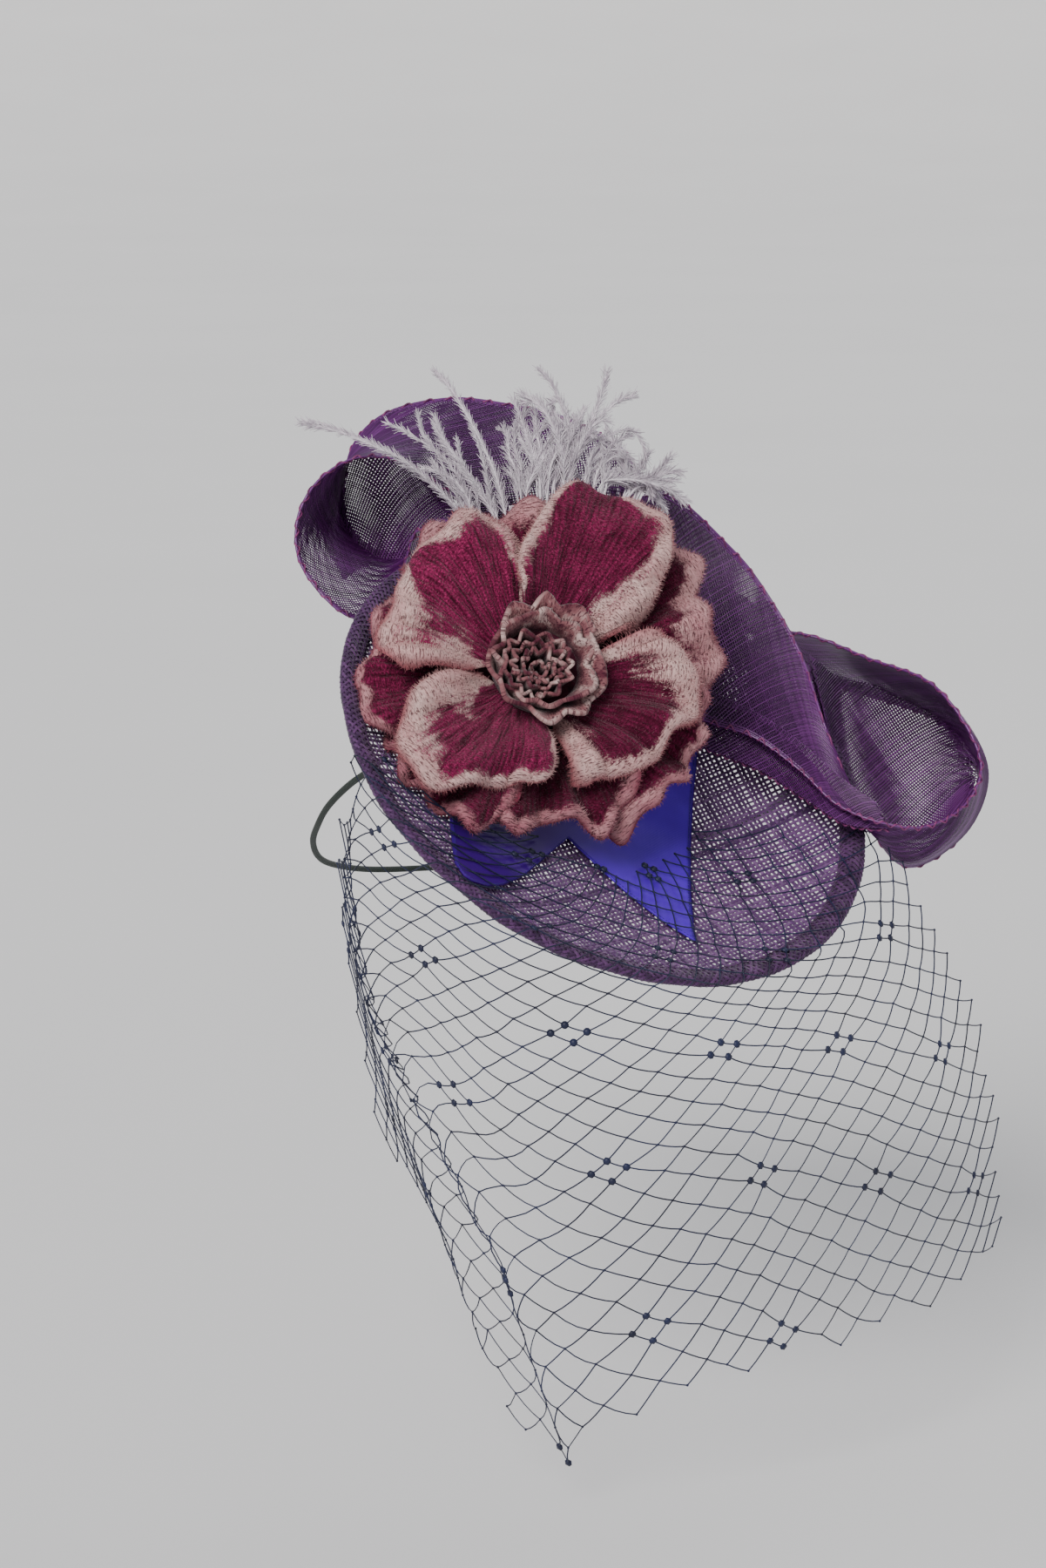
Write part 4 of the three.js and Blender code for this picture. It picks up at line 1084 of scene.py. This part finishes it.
def petal_border(row, side, along, radius, edge, spread, phase):
    """How far each place lies from the petal's edge, its share of the pale border's width, and that width"""
    to_tip = edge - radius
    to_side = (1 - np.abs(side)) * radius * np.radians(spread)
    near = np.exp(-to_tip / 3.0) + np.exp(-to_side / 3.0) - np.exp(-(to_tip + to_side) / 3.0) + 1e-12
    from_edge = np.minimum(np.maximum(-3.0 * np.log(near), 0), np.minimum(to_tip, to_side))
    round_outline = np.degrees(np.arctan2(side * radius * np.radians(spread), radius - 0.5 * row["length"]))
    breadth = np.interp(round_outline, BORDER_PLACES, row["border"])
    border = from_edge / breadth + 1.6 * (1 - smoothstep(along, 0.16, 0.40))
    streaks = (0.07 * np.sin(23 * side + phase[1]) + 0.06 * np.sin(41 * side + phase[2] + 4 * along)
               + 0.12 * np.sin(9 * side + phase[3]) + 0.05 * np.sin(67 * side + phase[4]))
    border = border + streaks * smoothstep(border, 0.25, 0.8) + 1.2 * (1 - smoothstep(breadth, 0.3, 1.4))
    return from_edge, border, breadth


def both_faces(above, below):
    return np.concatenate([above.ravel(), below.ravel()])


def make_petal(name, row, layer, seed, slot):
    along, across = share_grid(*PETAL_GRID)
    side = 2 * across - 1
    phase = np.random.default_rng(seed).uniform(0, 6.28, 8)

    # Outline
    spread = row["spread"] * (0.62 + 0.38 * smoothstep(along, 0.05, 0.5))
    outline = smooth_values(row["reach"], across.ravel()).reshape(across.shape)
    edge = row["length"] * (1 - 0.3 * np.abs(side) ** 3.2) * outline
    scallop = 0.018 * np.sin(7.3 * side + phase[0]) + 0.014 * np.sin(15 * side + phase[1])
    edge = edge * (1 + layer["wavy"] * scallop)
    angle = np.radians(row["azimuth"] + spread * side)
    radius = PETAL_ROOT + (edge - PETAL_ROOT) * along
    from_edge, border, breadth = petal_border(row, side, along, radius, edge, spread, phase)

    # Relief: cupped and curled over, rolled and ruffled at the edge, pleated in the heart
    cup = row["cup"] * np.sin(math.pi / 2 * along ** 1.4)
    curl = row["curl"] * smoothstep(along, 0.7, 1) ** 2
    roll = layer["side"] * side ** 4 * along
    waves = layer["ruffle"] * along ** 2 * np.sin(1.5 * math.pi * side)
    lap = layer["lap"] * side * smoothstep(along, 0, 0.3)
    ripples = np.sin(7.5 * side + phase[2]) + 0.6 * np.sin(13 * side + phase[3])
    frill = layer["frill"] * smoothstep(along, 0.45, 1) * ripples
    broad = 15 * side + 2.4 * np.sin(3 * side + phase[4]) + phase[5] + 1.2 * np.sin(5 * along + phase[6])
    narrow = 37 * side + 2 * np.sin(5 * side) + phase[6] + 2 * np.sin(7 * along)
    pleat = np.sin(broad) * 0.55 + np.sin(narrow) * 0.45
    window = smoothstep(along, 0.10, 0.3) * smoothstep(border, 0.7, 1.3) * (1 - smoothstep(along, 0.8, 1.0))
    bulge = 0.7 * np.exp(-((border - 0.55) / 0.4) ** 2) * smoothstep(along, 0.35, 0.6)
    bulge = bulge * np.clip(breadth / 10, 0.2, 1.2)
    crimp = 0.75 * smoothstep(along, 0.4, 0.8) * (1 - smoothstep(border, 0.9, 1.5))
    crimp = crimp * np.sin(21 * side + 3 * np.sin(4 * side + phase[7]))
    height = layer["base"] + cup - curl - roll - waves + lap + frill + crimp + 0.42 * pleat * window + bulge
    points = round_points(radius, angle, height)
    points[..., :2] += PETAL_HEART * (1 - smoothstep(along, 0.1, 0.9))[..., None]
    plump = 1.5 + 1.6 * np.exp(-((from_edge - 2.4) / 2.8) ** 2) * smoothstep(along, 0.3, 0.65)
    plump = plump * np.sqrt(np.clip(from_edge / 2.2, 0.004, 1))
    plump = np.where(along < 0.12, np.minimum(plump, 0.8), plump)
    corners, faces = cloth_skin(from_flower(points), plump)

    # Values of the upper and the under face
    uv = np.stack([angle * 30.0, radius], axis=-1).reshape(-1, 2)
    nap = smoothstep(along, 0.25, 0.45) * (1 - 0.7 * smoothstep(border, 0.75, 1.15))
    attributes = {
        "border": both_faces(border, border),
        # Per-petal painted shade of the heart, from the row's table
        "blush": np.full(len(corners), row["blush"]), "painted_shade": np.full(len(corners), row["painted_shade"]),
        "under": both_faces(np.zeros_like(along), smoothstep(from_edge, 1.0, 3.0)),
        "nap": both_faces(nap, nap * (1 - smoothstep(from_edge, 0.5, 2.5))),
    }
    piece = plain_piece(name, corners, faces=faces, attributes=attributes, uv=np.tile(uv, (2, 1)),
                        finish=VELVET[slot])
    fuzz = plain_piece(name + "_nap", corners, faces=faces, attributes=attributes)
    patterned(fuzz, NAP, VELVET_NAP[slot], density=NAP_FIBRES["density"], length=NAP_FIBRES["length"] * MM,
              thickness=NAP_FIBRES["thickness"] * MM, seed=seed)
    worn(joined(name, [piece, fuzz]), slot, name.replace("velvet_", ""))


def make_petals(place, rows, layer, seed):
    for number, row in enumerate(rows, 1):
        make_petal(f"velvet_petal_{place}_{number}", dict(zip(PETAL_COLUMNS, row)), layer, seed + number,
                   f"velvet_{place}")


make_petals("upper", PETALS_UPPER, UPPER_LAYER, 100)
make_petals("lower", PETALS_LOWER, LOWER_LAYER, 200)


# Flower centre: a pinked strip rolled up into rows of frills, its disc and the bound stem

def frill_grid(inner, outer, turns, start, height, waves, swing, flare, seed, shift):
    """One row of frill: a wavy strip that winds round and stands up"""
    phase = np.random.default_rng(seed).uniform(0, 6.28, 8)
    along, up = share_grid(int(waves * turns * FRILL_GRID["steps_a_wave"]), FRILL_GRID["rows"])
    way = along * turns * 2 * math.pi
    angle = start + way
    uneven = 0.7 + 0.3 * np.sin(2.3 * way + phase[0])
    swell = waves * way + 1.6 * np.sin(1.7 * way + phase[1]) + 0.9 * np.sin(3.1 * way + phase[2])
    folds = np.arcsin(0.94 * np.sin(swell)) / 1.22
    sway = swing * uneven * folds * up ** 1.2
    lean = flare * (1 + 0.35 * np.sin(1.3 * way + phase[3]) + 0.35 * np.sin(angle)) * up ** 1.6
    radius = inner + (outer - inner) * along + sway + lean
    pinked = 0.36 * np.abs((along * turns * inner * 4.2) % 1 - 0.5) * 2 * smoothstep(up, 0.85, 1)
    rise = height * (0.84 + 0.12 * np.sin(2.1 * way + phase[4]) + 0.08 * np.sin(5.3 * way + phase[5])
                     + 0.05 * folds)
    points = round_points(radius, angle, CENTRE["frill_seat"] + rise * up + pinked)
    points[..., :2] += PETAL_HEART + np.array(shift)
    return points, up, np.stack([way * (inner + outer) / 2, up * height], axis=-1)


def make_centre():
    pieces = []
    for number, row in enumerate(FRILL_ROWS):
        points, up, uv = frill_grid(*row)
        outer = number >= CENTRE["outer_rows"]
        corners, faces = cloth_skin(from_flower(points), 1.3 if outer else 0.9)
        attributes = {"rise": np.tile((up + (0.34 if outer else 0.0)).ravel(), 2)}
        pieces.append(plain_piece(f"frill_row_{number}", corners, faces=faces, attributes=attributes,
                                  uv=np.tile(uv.reshape(-1, 2), (2, 1)), finish=FRILL))
    seat, disc = CENTRE["disc_seat"], CENTRE["disc_radius"]
    stem, length, groove, sides = STEM["radius"], STEM["length"], STEM["groove"], STEM["sides"]
    profile = [(0.0, seat), (disc * 0.85, seat), (disc * 0.9, seat - 0.7), (disc * 0.85, seat - 1.4),
               (stem, seat - 1.8)]
    binds = np.linspace(seat - 2.4, -length + 0.2, STEM["winds"])
    profile += [(stem - groove + groove * math.cos(k * math.pi), z) for k, z in enumerate(binds)]
    profile.append((0.0, -length))
    points, faces = turned_shape(profile, sides)
    heights = np.array([z for _, z in profile])[:, None]
    uv = np.stack(np.broadcast_arrays(full_circle(sides) * stem, heights), axis=-1)
    pieces.append(plain_piece("bound_stem", from_flower(points), faces=faces, uv=uv.reshape(-1, 2),
                              attributes={"rise": np.zeros(len(points))}, finish=FRILL))
    worn(joined("flower_frill", pieces), "velvet_centre", "flower_centre")


make_centre()


# Plume tufts: slim ostrich fronds, each a quill with close barbs

def frond_lines(path, bare, fullness, plump, own):
    """One frond: a bowed quill along the path and its close barbs, in the saucer's frame"""
    steps = FROND["steps"]
    quill = smooth_path(path, np.linspace(0, 1, steps))
    lines = [{"points": from_saucer(quill), "fullness": np.linspace(2.0, 0.9, steps), "dye": 0.95}]
    tangent = unit(np.gradient(quill, axis=0))
    facing = unit(np.array([-0.3, -0.4, 1.0]) + own.normal(0, 0.5, 3))
    length = run_lengths(quill)[-1] * (1 - bare)
    barbs = int(FROND["barbs"] * length * fullness)
    run = np.linspace(0, 1, 3)[:, None]
    for k in range(barbs):
        share = bare + (1 - bare) * (k + own.uniform(0, 1)) / barbs
        spot = share * (steps - 1)
        low = min(int(spot), steps - 2)
        root = quill[low] + (quill[low + 1] - quill[low]) * (spot - low)
        ahead = tangent[low]
        beside = unit(np.cross(ahead, facing))
        over = np.cross(beside, ahead)
        for sign in (1, -1):
            lean = math.radians(own.uniform(12, 30))
            reach = plump * own.uniform(FROND["shortest"], FROND["longest"]) * (1.1 - 0.5 * share)
            out = unit(beside * sign + over * own.normal(0, 0.45))
            sway = out * own.uniform(-0.7, 0.7) + over * own.normal(0, 0.5)
            barb = root + (ahead * math.cos(lean) + out * math.sin(lean)) * reach * run + sway * run ** 2
            lines.append({"points": from_saucer(barb), "fullness": np.linspace(1.0, 0.4, 3),
                          "dye": own.uniform(0, 1)})
    return lines


def make_tuft(node, extra, droop, plump, seed):
    """A tuft of main fronds, extra shorter ones between them, and the bound quills at its foot"""
    own = np.random.default_rng(seed)
    tuft = TUFTS[node]
    fan, root = np.array(tuft["fan"], float), np.array(tuft["root"], float)
    fronds = [(np.array(path, float), 1.0) for path in tuft["fronds"]]
    far = np.linspace(0, 1, 5)[:, None]
    for k in range(extra):
        path = smooth_path(tuft["fronds"][k % len(tuft["fronds"])], far[:, 0])
        path = path[0] + (path - path[0]) * own.uniform(0.55, 0.95) + own.normal(0, 0.8, 3)
        path = path + own.normal(0, 3.2, 3) * far ** 1.5 + PLUME_DOWN * own.uniform(0, droop) * far ** 2.5
        fronds.append((path, 0.85))
    lines = []
    for path, fullness in fronds:
        start = path[0] + (root - path[0]) * own.uniform(0.22, 0.34) + own.normal(0, 0.7, 3)
        lines += frond_lines(np.vstack([start, path]), 0.9 / len(path), fullness, plump, own)
    shares = np.linspace(0, 1, 10)[:, None]
    for k in range(9):
        sway = own.normal(0, 0.9, 3) * np.sin(math.pi * shares)
        quill = root + (fan - root) * shares + sway + own.normal(0, 0.35, 3)
        lines.append({"points": from_saucer(quill), "fullness": 3.0, "dye": 0.6})
    piece = lines_piece(node.replace("feather", "plume"), lines)
    patterned(piece, ROUND_STRANDS, PLUME, radius=FROND["radius"] * MM, sides=3)
    worn(piece, "feather", node)


make_tuft("feather_tuft_left", 3, 2.0, 0.74, 41)
make_tuft("feather_tuft_right", 32, 9.0, 0.86, 43)


# Veil: knotted net of slanting cells over the dish's front and down from its rim

def veil_points(across, drop):
    """Points of the veil: across from 0 to 1, drop below the rim or, if negative, inwards over the dish"""
    across, drop = np.asarray(across, float), np.asarray(drop, float)
    angle = np.radians(smooth_values([row[0] for row in VEIL_FALL], across))
    mid, hem = (smooth_path([row[place] for row in VEIL_FALL], across) for place in (1, 2))
    crest_radius, crest_height, inner_radius = VEIL_CREST["radius"], VEIL_CREST["height"], VEIL_INNER["radius"]
    crest = from_saucer(round_points(crest_radius, angle, crest_height))
    fall = (np.maximum(drop, 0) / NET_SPAN["fall"])[:, None]
    hanging = crest * (1 - fall) * (1 - 2 * fall) + mid * 4 * fall * (1 - fall) + hem * fall * (2 * fall - 1)
    inward = np.maximum(-drop, 0)
    radius = crest_radius - inward
    over = np.clip(inward / (crest_radius - inner_radius), 0, 1)
    inner_height = dish_top(np.minimum(radius, inner_radius)) + VEIL_INNER["above_dish"]
    inner_height = inner_height + VEIL_INNER["rise"] * np.clip(radius / inner_radius, 0, 1)
    laid = from_saucer(round_points(radius, angle, crest_height + (inner_height - crest_height) * over))
    return np.where(drop[:, None] > 0, hanging, laid)


def net_spot(across, drop):
    """Distance round the net's upright axis and height, measured along the net, of places on the veil"""
    here = veil_points(across, np.maximum(drop, 0))
    crest, mid, hem = (
        veil_points(across, np.full_like(across, share * NET_SPAN["fall"])) for share in (0, 0.5, 1))
    whole = np.linalg.norm(mid - crest, axis=1) + np.linalg.norm(hem - mid, axis=1)
    length = np.where(drop > 0, drop / NET_SPAN["fall"] * whole, drop)
    around = np.arctan2(here[:, 0] - NET_AXIS["x"], NET_AXIS["y"] - here[:, 1]) * NET_AXIS["radius"]
    opened = np.maximum(around - NET_OPENED["from"], 0)
    around = around - NET_OPENED["share"] * opened ** 2 / (opened + NET_OPENED["slowly"])
    return np.stack([around, crest[:, 2] - length], axis=1)


def net_places(spots):
    """Share across and drop of spots on the flat net, found step by step, and whether they lie on the veil"""
    across, drop = np.full(len(spots), 0.5), np.full(len(spots), 40.0)
    aside, below, pace, least = (NET_SEARCH[label] for label in ("aside", "below", "pace", "least_scale"))
    most_across, most_drop = NET_SEARCH["most_across"], NET_SEARCH["most_drop"]
    for _ in range(NET_SEARCH["rounds"]):
        right, left = (net_spot(np.clip(across + way, 0, 1), drop) for way in (aside, -aside))
        by_across = (right - left) / (2 * aside)
        by_drop = (net_spot(across, drop + below) - net_spot(across, drop - below)) / (2 * below)
        miss = spots - net_spot(across, drop)
        scale = by_across[:, 0] * by_drop[:, 1] - by_across[:, 1] * by_drop[:, 0]
        scale = np.where(np.abs(scale) < least, -least, scale)
        to_across = pace * (miss[:, 0] * by_drop[:, 1] - miss[:, 1] * by_drop[:, 0]) / scale
        to_drop = pace * (by_across[:, 0] * miss[:, 1] - by_across[:, 1] * miss[:, 0]) / scale
        across = np.clip(across + np.clip(to_across, -most_across, most_across), 0, 1)
        drop = np.clip(drop + np.clip(to_drop, -most_drop, most_drop), *NET_SEARCH["drops"])
    close = np.linalg.norm(spots - net_spot(across, drop), axis=1) < NET_SEARCH["close"]
    return across, drop, close & (drop > -NET_SPAN["over_dish"]) & (drop < NET_SPAN["hem"])


def without_loose_ends(links):
    """The knots and their neighbours, without those that hang on one strand"""
    loose = [key for key in links if len(links[key]) < 2]
    while loose:
        for key in loose:
            for other in links.pop(key):
                if other in links and key in links[other]:
                    links[other].remove(key)
        loose = [key for key in links if len(links[key]) < 2]
    return links


def net_lattice():
    """Knots of the slanting net, the strands between them and the knots that carry dots"""
    own = np.random.default_rng(5)
    first, second = (heading_of(degrees) * NET_CELL for degrees in NET_WAYS)
    keys = [(m, n) for m in range(-40, 50) for n in range(-40, 50)]
    spots = np.array([NET_START + m * first + n * second for m, n in keys])
    wide = np.abs(spots[:, 0] - NET_SHEET["middle"]) < NET_SHEET["half_width"]
    wide &= (spots[:, 1] > NET_SHEET["low"]) & (spots[:, 1] < NET_SHEET["high"])
    keys = [key for key, kept in zip(keys, wide) if kept]
    spots = spots[wide] + own.normal(0, NET_SHEET["uneven"], (int(wide.sum()), 2))
    number = {key: k for k, key in enumerate(keys)}
    dotted = set()
    for m, n in keys:
        corners = [(m, n), (m + 1, n), (m + 1, n + 1), (m, n + 1)]
        row, out_of_step = divmod(m, NET_DOTS["first_way"])
        if out_of_step or (n - row) % NET_DOTS["second_way"] or not all(c in number for c in corners):
            continue
        middle = spots[[number[c] for c in corners]].mean(axis=0)
        for c in corners:
            spots[number[c]] += (middle - spots[number[c]]) * NET_DOTS["drawn"]
        dotted.update(corners)
    across, drop, on_veil = net_places(spots)
    places = {key: (across[k], drop[k]) for key, k in number.items() if on_veil[k]}
    links = without_loose_ends({
        (m, n): [other for other in ((m + 1, n), (m - 1, n), (m, n + 1), (m, n - 1)) if other in places]
        for m, n in places})
    return {key: places[key] for key in links}, links, dotted


def gathered(across, drop):
    """Points of the veil with the net drawn together at the fold on its right side"""
    middle = np.interp(drop, NET_FOLD["drops"], NET_FOLD["across"])
    near = np.exp(-((across - middle) / NET_FOLD["width"]) ** 2) * smoothstep(drop, -5, 25)
    drawn = across - NET_FOLD["draw"] * (across - middle) * near

    def place(aside, below):
        return veil_points(np.clip(drawn + aside, 0, 1), drop + below)

    facing = unit(np.cross(place(0, 1.0) - place(0, -1.0), place(0.01, 0) - place(-0.01, 0)))
    return place(0, 0) + facing * (NET_FOLD["ridge"] * near ** 4)[:, None], facing


def make_veil():
    places, links, dotted = net_lattice()
    keys = list(places)
    number = {key: k for k, key in enumerate(keys)}
    across, drop = (np.array([places[key][k] for key in keys]) for k in range(2))
    pairs = [(number[a], number[b]) for a in keys for b in links[a] if number[a] < number[b]]
    first, second = np.array(pairs).T
    shares = np.linspace(0, 1, 4)
    along_across = across[first, None] * (1 - shares) + across[second, None] * shares
    along_drop = drop[first, None] * (1 - shares) + drop[second, None] * shares
    along_drop = along_drop + NET_THREAD["sag"] * np.sin(math.pi * shares)
    points, _ = gathered(along_across.ravel(), along_drop.ravel())
    strands = [{"points": strand, "fullness": 1.0} for strand in points.reshape(-1, 4, 3)]
    net = patterned(lines_piece("veil_net", strands), ROUND_STRANDS, NET, radius=NET_THREAD["radius"] * MM,
                    sides=NET_THREAD["sides"])
    here, facing = gathered(across, drop)
    shape = np.array([NET_DOTS["shape"] if key in dotted else (1.0, 1.0, 1.0) for key in keys])
    knots = plain_piece("veil_knots", here, attributes={"facing": facing, "shape": shape})
    patterned(knots, KNOTS, NET, size=NET_THREAD["knot"] * MM)
    worn(joined("veil_net", [net, knots]), "veil_net", "veil")


make_veil()
